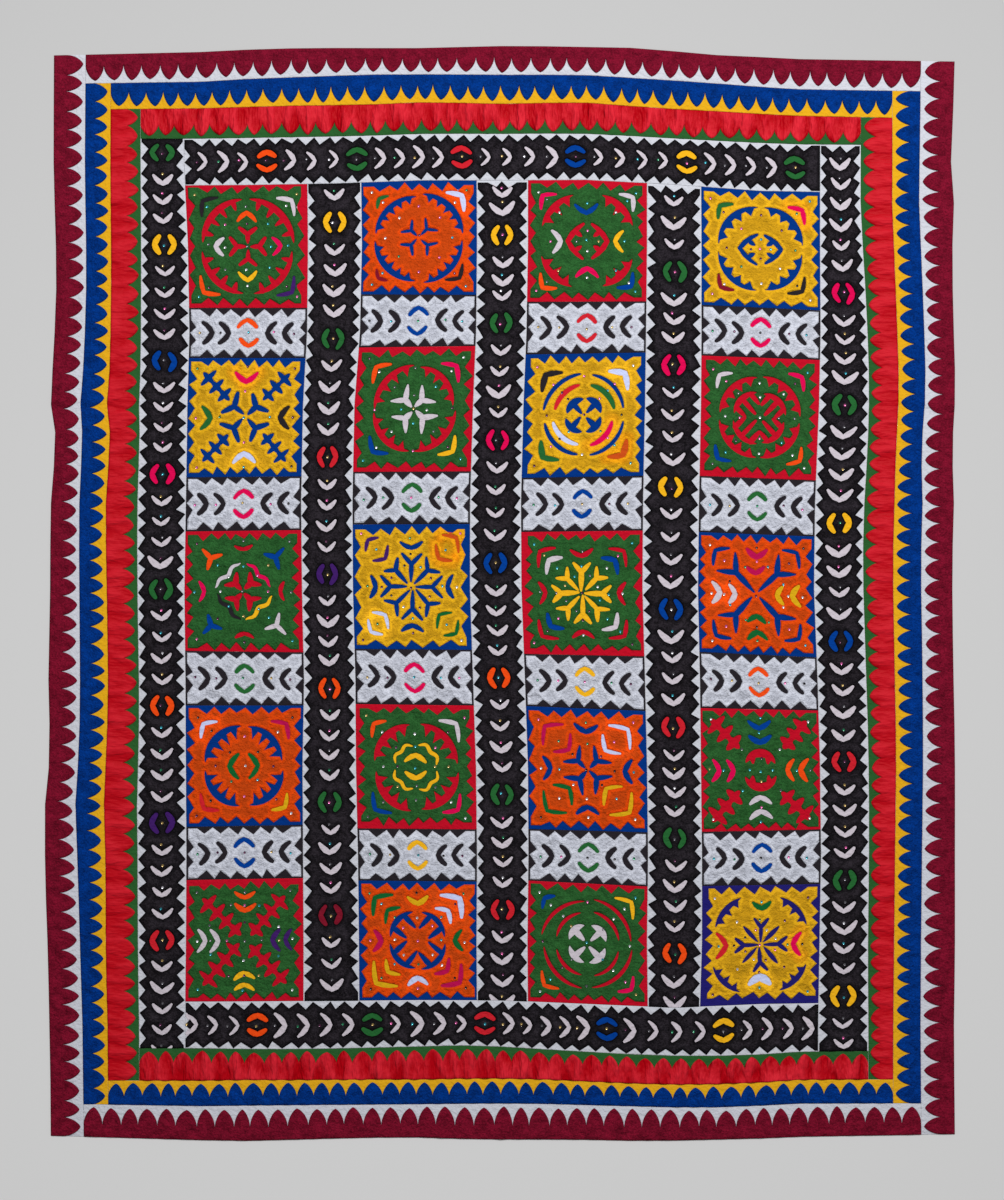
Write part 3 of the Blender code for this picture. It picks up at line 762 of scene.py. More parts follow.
# How a hand strays from a drawn cut: the spread of its turn in degrees, and shares of its size and width.
CUT_TURN = 2
CUT_SIZE = (0.95, 1.06)
CUT_WIDTH = (0.92, 1.1)
BIRD_SIZE = (0.85, 1.16)


def strayed(cuts, panel, scale=(1.0, 1.0)):
    """The cuts in the panel's own size, each a little off its drawn place, as a hand would cut it."""
    rng = panel.rng
    shake = bpy.context.scene.quilt_sizes.hand_shake
    mean_scale = float(np.mean(scale))
    moved = []
    for cut in cuts:
        lines = [strip.line * scale for strip in cut.strips]
        middle = np.mean(np.vstack(lines), axis=0)
        offset = rng.normal(0, shake, 2)
        angle = rng.normal(0, CUT_TURN)
        swell = rng.uniform(*CUT_SIZE)
        places = [turned(line - middle, angle) * swell + middle + offset for line in lines]
        widths = [strip.widths * mean_scale * rng.uniform(*CUT_WIDTH) for strip in cut.strips]
        moved.append(Cut(cut.cloth, list(map(Strip, places, widths))))
    return moved


# Patches and some grounds are cut from another dye than the panels of the same colour.
PATCH_DYES = {"green": "emerald", "blue": "azure", "yellow": "gold", "orange": "flame", "white": "pearl",
              "maroon": "claret"}
GROUND_DYES = {"white": "chalk", "yellow": "marigold"}
# What a patch does to the red, green and blue of the thin cloth over it, how far from the middle of its cut
# that reaches, and over how much of this it fades.
GLOWS = {"white": (1.22, 1.2, 1.3), "pale_blue": (1.22, 1.2, 1.3), "copper": (1.15, 0.88, 0.6),
         "magenta": (1.18, 0.98, 0.8), "yellow": (1.15, 1.12, 1.0)}
GLOW_REACH = 19 * MM
GLOW_FADE = 7 * MM
THIN_CLOTHS = ("yellow", "orange")


class Store:
    """What is collected while the panels are sewn, and made once they all are."""

    patches = defaultdict(list)  # by cloth: vertices, faces and the ground below
    sequins = defaultdict(list)  # by colour: x, y and z of the middle, and tilts along x and y


SEQUIN_COLOURS = {
    "silver": "C4C2CA", "smoke": "5E5C62", "pink": "C45A94", "turquoise": "2C8E9E", "gold": "A48A52",
    "leaf": "1F7450", "plum": "4E1C40", "jet": "171218",
}
# A sequin's rings from its rim inwards: radius as a share of its own, and height in mm.
SEQUIN_RINGS = ((1.0, 0.55), (0.62, 0.12), (0.2, 0.0))
SEQUIN_SIDES = 12
SEQUIN_LIFT = 0.15 * MM  # above the hems
SEQUIN_STRAY = 1.3 * MM
SEQUIN_TILT = 0.12
# A panel's sequins by its top cloth. A colour named twice is sewn on twice as often.
SEQUIN_MIXES = {
    "black": ("silver", "smoke", "smoke", "gold", "gold", "pink", "turquoise", "leaf", "plum"),
    "green": ("silver", "silver", "smoke", "gold", "turquoise", "turquoise", "pink", "plum"),
    "orange": ("silver", "silver", "turquoise", "leaf", "plum", "jet", "pink"),
    "yellow": ("silver", "turquoise", "leaf", "plum", "plum", "jet", "pink"),
    "white": ("plum", "gold", "leaf", "turquoise", "jet", "pink"),
}


def sew_sequins(panel, spots, colours):
    """Note sequins of the colours at places on the panel's flat cloth."""
    above = bpy.context.scene.quilt_sizes.hem_rise + SEQUIN_LIFT
    flat = np.array(spots, float) + panel.rng.normal(0, SEQUIN_STRAY, (len(spots), 2))
    for place in panel.draped(flat, -above):
        colour = colours[panel.rng.integers(len(colours))]
        Store.sequins[colour].append((*place, *panel.rng.uniform(-SEQUIN_TILT, SEQUIN_TILT, 2)))


def joined(loops):
    """Vertices of several loops in one list, and each loop as indices."""
    starts = np.cumsum([0, *(len(loop) for loop in loops)])
    return np.vstack(loops), [list(range(a, b)) for a, b in zip(starts, starts[1:])]


def grid_over(points, spacing):
    """Rows of points over the box that holds the points."""
    rows = [np.arange(a + spacing / 2, b, spacing) for a, b in zip(points.min(axis=0), points.max(axis=0))]
    return np.array(np.meshgrid(*rows)).reshape(2, -1).T


def offset_points(loop, distance, spacing):
    """Points beside a loop on both sides of it."""
    dense = stroll(loop, spacing)
    tangent = np.roll(dense, -1, axis=0) - np.roll(dense, 1, axis=0)
    tangent /= np.maximum(np.linalg.norm(tangent, axis=1, keepdims=True), 1e-9)
    beside = leftward(tangent) * distance
    return np.vstack((dense + beside, dense - beside))


def tree_of(points):
    tree = kdtree.KDTree(len(points))
    for k, (x, y) in enumerate(points):
        tree.insert((x, y, 0), k)
    tree.balance()
    return tree


def distances(tree, points):
    return np.array([tree.find((x, y, 0))[2] for x, y in points])


def filled(loops, inner, keeps):
    """Points and triangles of the cloth that the loops bound. A triangle stays if keeps accepts the list of
    loops that hold it."""
    points, faces = joined(loops)
    points = [Vector(p) for p in np.vstack((points, inner))]
    places, _, triangles, _, _, held_by = delaunay_2d_cdt(points, [], faces, 1, 1e-6, True)
    kept = [tri for tri, owners in zip(triangles, held_by) if keeps(owners)]
    used = sorted({i for tri in kept for i in tri})
    renumbered = {old: new for new, old in enumerate(used)}
    return np.array([places[i] for i in used]), [tuple(renumbered[i] for i in tri) for tri in kept]


EDGE_STEP = 0.8 * MM  # between the points from which an edge is measured
ON_EDGE = 0.05 * MM  # the most that a point on an edge measures
HEM_POINTS = 4.2 * MM  # from an edge to the outer of the two rows of points beside it
HEM_END = 1.2 * MM  # how far the doubled hem's step reaches past the hem's width
HEM_STEP = 1.8 * MM  # how wide that step is


def cut_out(outline, cuts, sizes):
    """A flat cloth inside the outline and outside every cut: its points, its triangles, and how far each
    point is from an edge."""
    loops = [stroll(loop, sizes.stitch_spacing) for loop in (outline, *cuts)]
    edge = tree_of(np.vstack([stroll(loop, EDGE_STEP) for loop in loops]))
    candidates = [(grid_over(outline, sizes.weave_grid), 0.75 * sizes.weave_grid)]
    for distance, spacing in ((sizes.fold_round, 1.0), (HEM_POINTS, 1.5)):
        for loop in loops:
            beside = offset_points(loop, distance, spacing * sizes.stitch_spacing)
            candidates.append((beside, 0.9 * distance))
    inner = [points[distances(edge, points) > least] for points, least in candidates if len(points)]
    flat, triangles = filled(loops, np.vstack(inner), lambda owners: owners == [0])
    depth = distances(edge, flat)
    depth[depth < ON_EDGE] = 0
    return flat, triangles, depth


def turns_of(points, triangles):
    """Twice the area of each triangle, below 0 where it runs clockwise as seen from above."""
    a, b, c = (points[[tri[k] for tri in triangles], :2] for k in range(3))
    return (b - a)[:, 0] * (c - a)[:, 1] - (b - a)[:, 1] * (c - a)[:, 0]


def area_of(points, triangles):
    return float(np.abs(turns_of(points, triangles)).sum() / 2)


def facing_up(points, triangles):
    """The triangles, each turned to run counter-clockwise as seen from above."""
    turns = turns_of(points, triangles)
    return [tri if turn > 0 else tri[::-1] for tri, turn in zip(triangles, turns)]


def new_piece(name, vertices, faces, material):
    mesh = bpy.data.meshes.new(name)
    mesh.from_pydata([tuple(v) for v in vertices], [], faces)
    mesh.validate()
    mesh.shade_smooth()
    mesh.materials.append(material)
    piece = bpy.data.objects.new(name, mesh)
    bpy.context.scene.collection.objects.link(piece)
    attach(piece, "root")
    return piece


def note(piece, name, values):
    """Store a number or a vector for each vertex, which the cloth's material reads."""
    single = np.ndim(values) == 1
    attribute = piece.data.attributes.new(name, "FLOAT" if single else "FLOAT_VECTOR", "POINT")
    field = "value" if single else "vector"
    attribute.data.foreach_set(field, np.ascontiguousarray(values, np.float32).ravel())


def note_lay(piece, flat):
    """Store where each vertex lies on the flat cloth, which the weave follows."""
    note(piece, "lay", np.column_stack((flat, np.zeros(len(flat)))))


def glow_of(flat, cuts):
    """How the patches under a thin cloth change its red, green and blue at each point."""
    glow = np.ones((len(flat), 3))
    for cut in cuts:
        tint = GLOWS.get(cut.cloth)
        if tint:
            line = np.vstack([strip.line for strip in cut.strips])
            away = distances(tree_of(line), flat)
            share = np.clip((GLOW_REACH - away) / GLOW_FADE, 0, 1)[:, None]
            glow *= 1 + share * (np.array(tint) - 1)
    return glow


def top_cloth(panel, name, cloth, outline, cuts):
    """The cut cloth on a panel's face, dipping to the ground cloth along every cut."""
    sizes = bpy.context.scene.quilt_sizes
    loops = [ribbon_outline(strip) for cut in cuts for strip in cut.strips]
    flat, triangles, depth = cut_out(outline, loops, sizes)
    rounded = np.clip(depth / sizes.fold_round, 0, 1)
    drop = sizes.layer_drop * (1 - np.sqrt(1 - (1 - rounded) ** 2))
    doubled = np.clip((sizes.hem_width + HEM_END - depth) / HEM_STEP, 0, 1)
    drop -= sizes.hem_rise * doubled * rounded
    vertices = panel.draped(flat, drop)
    faces = facing_up(vertices, triangles)
    taut = cloth in SATINS and panel.length > panel.width
    piece = new_piece(name, vertices, faces, cloth_material(cloth, taut))
    note(piece, "edge", depth)
    if cloth in THIN_CLOTHS:
        note(piece, "glow", glow_of(flat, cuts))
    note_lay(piece, flat[:, ::-1] if panel.length > 2 * panel.width else flat)
    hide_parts(panel.node)
    area_of(flat, triangles)


def ground_cloth(panel, cloth):
    """The plain cloth under a panel's face, with the quilt's thickness beneath it."""
    sizes = bpy.context.scene.quilt_sizes
    columns, rows = (max(2, round(size / sizes.weave_grid)) for size in (panel.width, panel.length))
    lip = 0.6 * sizes.edge_round
    spans = []
    for size, count in ((panel.width, columns), (panel.length, rows)):
        inner = np.linspace(-size / 2 + lip, size / 2 - lip, count)
        spans.append(np.concatenate(((-size / 2,), inner, (size / 2,))))
    x, y = np.meshgrid(*spans)
    flat = np.column_stack((x.ravel(), y.ravel()))
    top = panel.draped(flat, sizes.ground_drop)
    count = len(top)
    grid = np.arange(count).reshape(x.shape)
    squares = np.dstack((grid[:-1, :-1], grid[:-1, 1:], grid[1:, 1:], grid[1:, :-1]))
    faces = squares.reshape(-1, 4).tolist()
    rim = np.concatenate((grid[0], grid[1:, -1], grid[-1, -2::-1], grid[-2:0:-1, 0])).tolist()
    under = [count + k for k in range(len(rim))]
    faces += [(a, c, d, b) for a, b, c, d in zip(rim, rim[1:] + rim[:1], under, under[1:] + under[:1])]
    faces.append(tuple(under[::-1]))
    vertices = np.vstack((top, top[rim] * (1, 1, 0)))
    material = ground_material(GROUND_DYES.get(cloth, cloth))
    piece = new_piece(f"{panel.node}_ground", vertices, faces, material)
    note_lay(piece, flat[[*range(count), *rim]])
    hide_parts(panel.node)


PATCH_GRID = 5 * MM


def lay_patches(panel, cuts, ground):
    """Patches under every cut that shows a colour other than the ground's."""
    sizes = bpy.context.scene.quilt_sizes
    for cut in cuts:
        if cut.cloth == ground:
            continue
        loops = [stroll(ribbon_outline(strip, sizes.patch_margin), PATCH_GRID) for strip in cut.strips]
        flat, triangles = filled(loops, grid_over(np.vstack(loops), PATCH_GRID), len)
        vertices = panel.draped(flat, sizes.patch_drop)
        Store.patches[cut.cloth].append((vertices, facing_up(vertices, triangles), f"{panel.node}_ground"))


def sew_panel(panel, top, ground, outline, cuts, name):
    """A whole panel: ground cloth, patches and cut top cloth."""
    ground_cloth(panel, ground)
    lay_patches(panel, cuts, ground)
    top_cloth(panel, name, top, outline, cuts)


# ---- materials ----


class Value:
    """A number in a material, or a socket that carries one, which takes part in plain arithmetic."""

    def __init__(self, finish, socket):
        self.finish = finish
        self.socket = socket

    def maths(self, operation, first, second):
        return self.finish.value("ShaderNodeMath", {"operation": operation}, {0: first, 1: second})

    def __add__(self, other):
        return self.maths("ADD", self, other)

    def __sub__(self, other):
        return self.maths("SUBTRACT", self, other)

    def __rsub__(self, other):
        return self.maths("SUBTRACT", other, self)

    def __mul__(self, other):
        return self.maths("MULTIPLY", self, other)

    __radd__ = __add__
    __rmul__ = __mul__


class Finish:
    """A material under construction."""

    def __init__(self, name, **fixed):
        self.material = bpy.data.materials.new(name)
        self.material.use_nodes = True
        self.tree = self.material.node_tree
        self.give(**fixed)

    def node(self, kind, settings, sockets):
        node = self.tree.nodes.new(kind)
        for name, value in settings.items():
            setattr(node, name, value)
        for key, value in sockets.items():
            self.feed(node.inputs[key], value)
        return node

    def value(self, kind, settings, sockets, output=0):
        """The number that a new node gives."""
        return Value(self, self.node(kind, settings, sockets).outputs[output])

    def feed(self, socket, value):
        if isinstance(value, Value):
            value = value.socket
        if isinstance(value, bpy.types.NodeSocket):
            self.tree.links.new(value, socket)
        else:
            socket.default_value = value

    def give(self, **values):
        """Feed the shader's own sockets, whose names have spaces for underscores."""
        for name, value in values.items():
            self.feed(self.tree.nodes["Principled BSDF"].inputs[name.replace("_", " ")], value)

    def noted(self, name, output):
        """What note has stored on a piece under the name."""
        return self.node("ShaderNodeAttribute", {"attribute_name": name}, {}).outputs[output]

    def lay(self, stretch=(1, 1, 1)):
        """Where a point lies on the flat cloth, stretched."""
        sockets = {0: self.noted("lay", "Vector"), 1: stretch}
        return self.node("ShaderNodeVectorMath", {"operation": "MULTIPLY"}, sockets).outputs["Vector"]

    def spot(self):
        """Where a point lies in the quilt."""
        return self.node("ShaderNodeTexCoord", {}, {}).outputs["Object"]

    def noise(self, kind, vector=None):
        scale, detail, roughness = kind
        sockets = {"Vector": vector or self.spot(), "Scale": scale, "Detail": detail, "Roughness": roughness}
        return self.value("ShaderNodeTexNoise", {}, sockets, "Fac")

    def threads(self, direction):
        settings = {"wave_type": "BANDS", "bands_direction": direction}
        sockets = {"Vector": self.lay(), "Scale": THREADS_PER_METRE, "Distortion": 0.6, "Detail": 1.0}
        return self.value("ShaderNodeTexWave", settings, sockets, "Fac")

    def woven(self, relief):
        """A relief with the over and under of threads on it."""
        return self.bump(self.threads("X") * self.threads("Y"), THREAD_DEPTH, 0.5, relief)

    def between(self, share, first, second, blend="MIX"):
        settings = {"data_type": "RGBA", "blend_type": blend}
        return self.node("ShaderNodeMix", settings, {0: share, 6: first, 7: second}).outputs[2]

    def bump(self, height, distance, strength=1.0, under=None):
        sockets = {"Height": height, "Distance": distance, "Strength": strength}
        if under is not None:
            sockets["Normal"] = under
        return self.node("ShaderNodeBump", {}, sockets).outputs["Normal"]

    def ramp(self, value, low, high, easing="SMOOTHSTEP"):
        """0 at low and 1 at high."""
        sockets = {"Value": value, "From Min": low, "From Max": high}
        return self.value("ShaderNodeMapRange", {"interpolation_type": easing}, sockets)


def opaque(colour):
    return (*colour, 1.0)


def shade(colour, factor):
    return opaque(tuple(min(1.0, c * factor) for c in colour))


SATINS = ("red",)
# How strong a satin's gathers look where it runs down a side of the quilt, as a share of the usual: their
# relief, and their painted shade and sheen.
TAUT_SLACK = 0.5
# How far the dye of the other top cloths strays from its shade.
UNEVEN = {"maroon": 0.42, "blue": 0.42, "green": 0.36, "black": 0.75, "white": 0.22, "yellow": 0.16,
          "orange": 0.16}
# Painted shade along the cuts: how many mm from the edge it starts to fade and is gone, and how dark it is.
PAINTED_BRINK_SHADE = (0.4, 2.4, 0.25)
BLACK_PAINTED_BRINK_SHADE = (1.2, 4.0, 0.85)
THREAD_DEPTH = 0.12 * MM
THREADS_PER_METRE = 0.314 / (0.55 * MM)
# Noises: how many waves to a metre, in how many finer steps, and how strong the finer ones are.
GATHERS = (38.0, 3.0, 0.5)
BLOTCHES = (48.0, 5.0, 0.7)
GRAIN = (280.0, 2.0, 0.6)
FRAY = (160.0, 2.0, 0.5)
WRINKLES = (38.0, 3.0, 0.55)
CRUMPLES = (30.0, 5.0, 0.7)
GROUND_CREASES = (120.0, 3.0, 0.6)
FILM = (400.0, 2.0, 0.5)


def mottled(finish, blotches, share, sharp):
    """Blotches, with a share of their own and a fine grain for the rest, that turn over from 0 to 1 within
    sharp of the middle."""
    mixed = blotches * share + finish.noise(GRAIN) * (1 - share)
    return finish.ramp(mixed, 0.5 - sharp, 0.5 + sharp)


def cloth_material(cloth, taut=False):
    """A top cloth: its weave, its mottled dye, the doubled hem along its cuts with painted shade at their
    edge, or a satin's gathers with painted shade in their folds and painted sheen on their crests.
    """
    name = f"{cloth}_top_taut" if taut else f"{cloth}_top"
    if name in bpy.data.materials:
        return bpy.data.materials[name]
    dyes_and_painted_light = bpy.context.scene.quilt_colours
    body = getattr(dyes_and_painted_light, cloth)
    hem = getattr(dyes_and_painted_light, f"{cloth}_hem", body)
    satin = cloth in SATINS
    finish = Finish(name, Metallic=0.0, Sheen_Weight=0.0 if satin else 0.01, Sheen_Roughness=0.4,
                    Specular_IOR_Level=0.05 if satin else 0.04)
    edge = Value(finish, finish.noted("edge", "Fac"))
    if satin:
        # A satin's colour follows its gathers: painted shade down in the folds and painted sheen on the
        # crests, less of both down the sides of the quilt.
        gathers = finish.noise(GATHERS, finish.lay((1, 0.32, 1)))
        mottle_and_painted_sheen = mottled(finish, gathers, 0.88, 0.12)
        painted_sheen_share = mottle_and_painted_sheen * TAUT_SLACK + 0.12 if taut else mottle_and_painted_sheen
        colour = finish.between(painted_sheen_share, opaque(dyes_and_painted_light.red_fold_painted_shade), opaque(dyes_and_painted_light.red_crest_painted_sheen))
        roughness = gathers * 0.25 + 0.35
        relief = finish.bump(gathers, 30.0 * MM * (TAUT_SLACK if taut else 1))
    else:
        mottle_and_painted_sheen = mottled(finish, finish.noise(BLOTCHES), 0.55, 0.17)
        brim = bpy.context.scene.quilt_sizes.hem_width
        frayed = edge + (finish.noise(FRAY) - 0.5) * (4 * MM)
        doubled = 1 - finish.ramp(frayed, brim - HEM_END, brim + HEM_STEP)
        single, double = (finish.between(mottle_and_painted_sheen, shade(colour_setting, 1 - stray), shade(colour_setting, 1 + stray))
                          for colour_setting, stray in ((body, UNEVEN[cloth]), (hem, 0.7 * UNEVEN[cloth])))
        colour = finish.between(doubled, single, double)
        roughness = finish.noise(WRINKLES) * 0.15 + 0.75
        relief = finish.bump(finish.noise(CRUMPLES), 16.0 * MM)
    if cloth in THIN_CLOTHS:
        colour = finish.between(1.0, colour, finish.noted("glow", "Color"), "MULTIPLY")
    # Painted shade along every cut, where the cloth turns down to the ground cloth; widest and darkest on
    # black.
    inner, outer, dark = BLACK_PAINTED_BRINK_SHADE if cloth == "black" else PAINTED_BRINK_SHADE
    painted_brink_shade = (1 - finish.ramp(edge, inner * MM, outer * MM)) * dark
    finish.give(Base_Color=finish.between(painted_brink_shade, colour, shade(hem, 0.25)), Roughness=roughness,
                Normal=finish.woven(relief))
    return finish.material


def ground_material(cloth):
    """A cloth seen through the cuts: plain dye, woven and a little creased."""
    name = f"{cloth}_ground"
    if name in bpy.data.materials:
        return bpy.data.materials[name]
    colour = getattr(bpy.context.scene.quilt_colours, cloth)
    finish = Finish(name, Base_Color=opaque(colour), Metallic=0.0, Sheen_Weight=0.01, Specular_IOR_Level=0.04)
    creases = finish.noise(GROUND_CREASES)
    finish.give(Roughness=creases * 0.2 + 0.7, Normal=finish.woven(finish.bump(creases, 3.5 * MM)))
    return finish.material


def sequin_material(name, code):
    finish = Finish(f"sequin_{name}", Base_Color=opaque(linear(code)), Metallic=0.5, Coat_Weight=0.2)
    finish.give(Roughness=finish.noise(FILM) * 0.2 + 0.15)
    return finish.material


# ---- operators ----


# The strips of a border, and which sides of each are the quilt's edge where the border is the outer one.
STRIP_EDGES = {"left": ("left", "foot", "head"), "right": ("right", "foot", "head"), "top": ("head",),
               "bottom": ("foot",)}


class QUILT_OT_border(bpy.types.Operator):
    """Sew the four strips of one scalloped border"""

    bl_idname = "quilt.border"
    bl_label = "Sew a Scalloped Border"

    ring: IntProperty(name="Ring", description="Which border, counted from the outside", min=0, max=2)

    def execute(self, context):
        name = list(BORDERS)[self.ring]
        border = BORDERS[name]
        for side, edges in STRIP_EDGES.items():
            panel = Panel(f"{name}_strip_{side}", edges if self.ring == 0 else ())
            panel.gather = border
            outline = scalloped_outline(panel, border, side)
            sew_panel(panel, border.top, border.ground, outline, [], f"{name}_scallops_{side}")
        return {"FINISHED"}


class QUILT_OT_blocks(bpy.types.Operator):
    """Sew the square blocks with their cut motifs"""

    bl_idname = "quilt.blocks"
    bl_label = "Sew the Blocks"

    def execute(self, context):
        for node, block in BLOCKS.items():
            panel = Panel(node)
            scale = np.array((panel.width, panel.length)) / 2
            sides = [Side(rim, BLOCK_TOOTH, round(block.teeth + panel.rng.uniform(-0.4, 0.4)), BLOCK_MARGIN)
                     for rim in (*block.rims[1:], block.rims[0])]
            cuts = strayed(block.motifs, panel, scale)
            sew_panel(panel, block.top, block.ground, toothed_outline(panel, sides), cuts, f"{node}_cutwork")
            spots = [(0.0, 0.0)]
            for radii, angles in ((block.axis, AXES), (block.diagonal, DIAGONALS),
                                  (block.between, range(22, 360, 45))):
                spots += [outward(radius, angle) for radius in radii for angle in angles]
            sew_sequins(panel, np.array(spots) * scale, SEQUIN_MIXES[block.top])
        return {"FINISHED"}


def bird_places(marks, flock, run, middle):
    """Places of the white birds: between the bracket pairs, and on to both ends of the band."""
    pitch, clear, low, high = (size * MM for size in flock[:4])
    marks = sorted(marks)
    places = []
    for a, b in zip(marks, marks[1:]):
        count = max(1, round((b - a - 2 * clear) / pitch) + 1)
        places += list(np.linspace(a + clear, b - clear, count))
    places += list(np.arange(marks[0] - clear, low - run / 2, -pitch))
    places += list(np.arange(marks[-1] + clear, run / 2 - high, pitch))
    return places + [mark * MM - middle for mark in flock.more]


def band_sides(node, run):
    """A band's sides from the foot round to the left, toothed along it and some of them at its ends."""
    teeth = round(run / (BAND_TOOTH_PITCH * MM))
    margin = 6 if node in ("black_band_1", "black_band_bottom") else 17
    inner = Side(2, 14.5, teeth, margin)
    outer = Side(2, 13, teeth, margin)
    end = Side(0, 0, 0, 6)
    hooked = Side(1, 13, 2, 20)
    return {
        "black_band_1": (end, inner, end, outer),
        "black_band_3": (end, inner, Side(4, 12, 2, 22), inner),
        "black_band_4": (end, inner, Side(5, 12, 3, 12), inner),
        "black_band_5": (end, outer, Side(2.5, 13, 2, 12), inner),
        "black_band_top": (inner, end, outer, hooked),
        "black_band_bottom": (outer, end, inner, hooked),
    }.get(node, (end, inner, end, inner))


class QUILT_OT_bands(bpy.types.Operator):
    """Sew the black bands with their birds, bracket pairs and toothed edges"""

    bl_idname = "quilt.bands"
    bl_label = "Sew the Bands"

    def execute(self, context):
        for node, pairs in BAND_BRACKETS.items():
            panel = Panel(node)
            across = node.endswith(("top", "bottom"))
            middle = panel.middle[0 if across else 1]
            run = panel.width if across else panel.length
            pairs = [Pair(*row) for row in pairs]
            marks = [pair.mark * MM - middle for pair in pairs]
            flock = FLOCKS[node]
            birds = bird_places(marks, flock, run, middle)
            cuts = []
            for pair, mark in zip(pairs, marks):
                for side in (1, -1):
                    points = np.array(BRACKET) * (side * MM, MM) * pair.size
                    points = [p[::-1] + (mark, 0) if across else p + (0, mark) for p in points]
                    cuts.append(wings(pair.cloth, points, WING_WIDTH * MM, 0.7, 0.06))
            for bird in birds:
                size = flock.size * panel.rng.uniform(*BIRD_SIZE)
                points = np.array(BIRD) * MM * size
                points = [(-y + bird, x) if across else (x, y + bird) for x, y in points]
                width = (CROSSWISE_BIRD_WIDTH if across else BIRD_WIDTH) * MM * size
                cuts.append(wings("pearl", points, width, 0.5, 0.07, 0.34))
            cuts = strayed(cuts, panel)
            outline = toothed_outline(panel, band_sides(node, run))
            sew_panel(panel, "black", "white", outline, cuts, f"{node}_cutwork")
            beside = (-BIRD_TO_SEQUIN if across else BIRD_TO_SEQUIN) * MM
            places = [*marks, *(bird + beside for bird in birds)]
            spots = [(place, 0) if across else (0, place) for place in places]
            sew_sequins(panel, spots, SEQUIN_MIXES["black"])
        return {"FINISHED"}


class QUILT_OT_bars(bpy.types.Operator):
    """Sew the white bars between the blocks"""

    bl_idname = "quilt.bars"
    bl_label = "Sew the White Bars"

    def execute(self, context):
        bars = [(f"white_bar_r{row}_c{column}", cloth) for row, cloths in enumerate(BAR_BRACKETS, 1)
                for column, cloth in enumerate(cloths.split(), 1)]
        for node, cloth in bars:
            panel = Panel(node)
            cuts = [wings(cloth, np.array(BAR_BRACKET) * (1, side) * MM, BAR_BRACKET_WIDTH * MM)
                    for side in (1, -1)]
            for vertex, tips, span in BAR_WINGS:
                points = np.array(((vertex, 0), (tips, span), (tips, -span))) * MM
                cuts.append(wings("black", points, WING_WIDTH * MM, 0.7))
            cuts = strayed(cuts, panel)
            outline = toothed_outline(panel, BAR_SIDES)
            sew_panel(panel, "white", "black", outline, cuts, f"{node}_cutwork")
            sew_sequins(panel, [(place * MM, 0) for place in BAR_SEQUINS], SEQUIN_MIXES["white"])
        return {"FINISHED"}


class QUILT_OT_patches(bpy.types.Operator):
    """Lay the coloured patches between the cloths, one piece for each colour"""

    bl_idname = "quilt.patches"
    bl_label = "Lay the Patches"

    used: FloatProperty(name="Used", description="Share of the square of cloth that its patches use up",
                        default=0.7, min=0.3, max=1.0, subtype="FACTOR")

    def execute(self, context):
        for cloth, patches in Store.patches.items():
            vertices, faces, count = [], [], 0
            for points, triangles, _ in patches:
                vertices.append(points)
                faces += [tuple(i + count for i in face) for face in triangles]
                count += len(points)
            vertices = np.vstack(vertices)
            material = ground_material(PATCH_DYES.get(cloth, cloth))
            piece = new_piece(f"{cloth}_patches", vertices, faces, material)
            note_lay(piece, vertices[:, :2])
            area = area_of(vertices, faces)
            side = float(np.sqrt(area / self.used))
        return {"FINISHED"}


class QUILT_OT_sequins(bpy.types.Operator):
    """Sew on the cupped sequins, one piece for each colour"""

    bl_idname = "quilt.sequins"
    bl_label = "Sew the Sequins"

    def execute(self, context):
        radius = context.scene.quilt_sizes.sequin_radius
        turns = np.arange(SEQUIN_SIDES) * np.pi / (SEQUIN_SIDES / 2)
        circle = np.column_stack((np.cos(turns), np.sin(turns)))
        for colour, spots in Store.sequins.items():
            vertices, faces = [], []
            for x, y, z, tilt_x, tilt_y in spots:
                first = len(vertices)
                for share, rise in SEQUIN_RINGS:
                    for cx, cy in circle * share * radius:
                        vertices.append((x + cx, y + cy, z + rise * MM + tilt_x * cx + tilt_y * cy))
                for start in (first, first + SEQUIN_SIDES):
                    rim = [*range(start, start + SEQUIN_SIDES), start]
                    faces += [(a, b, b + SEQUIN_SIDES, a + SEQUIN_SIDES) for a, b in zip(rim, rim[1:])]
                faces.append(tuple(range(len(vertices) - SEQUIN_SIDES, len(vertices))))
            material = sequin_material(colour, SEQUIN_COLOURS[colour])
            new_piece(f"{colour}_sequins", vertices, faces, material)
        return {"FINISHED"}


# Half the floor's side, its two greys, and how far from the middle one turns wholly into the other. The greys
# are painted light and shade: lighter at the foot and left, darker at the head and right under the lamp, so
# the floor looks evenly lit.
FLOOR_REACH = 6
FLOOR_PAINTED_LIGHT_GREYS = ("DFDFDF", "B0B0B0")
FLOOR_FADE = 1.5
SKY_STRENGTH = 0.26
LAMP_PLACE = (0.9, 3.0, 5.0)
LAMP_SIZE = 1.8
LAMP_POWER = 330  # watts
SENSOR_HEIGHT = 36  # millimetres, as the lens


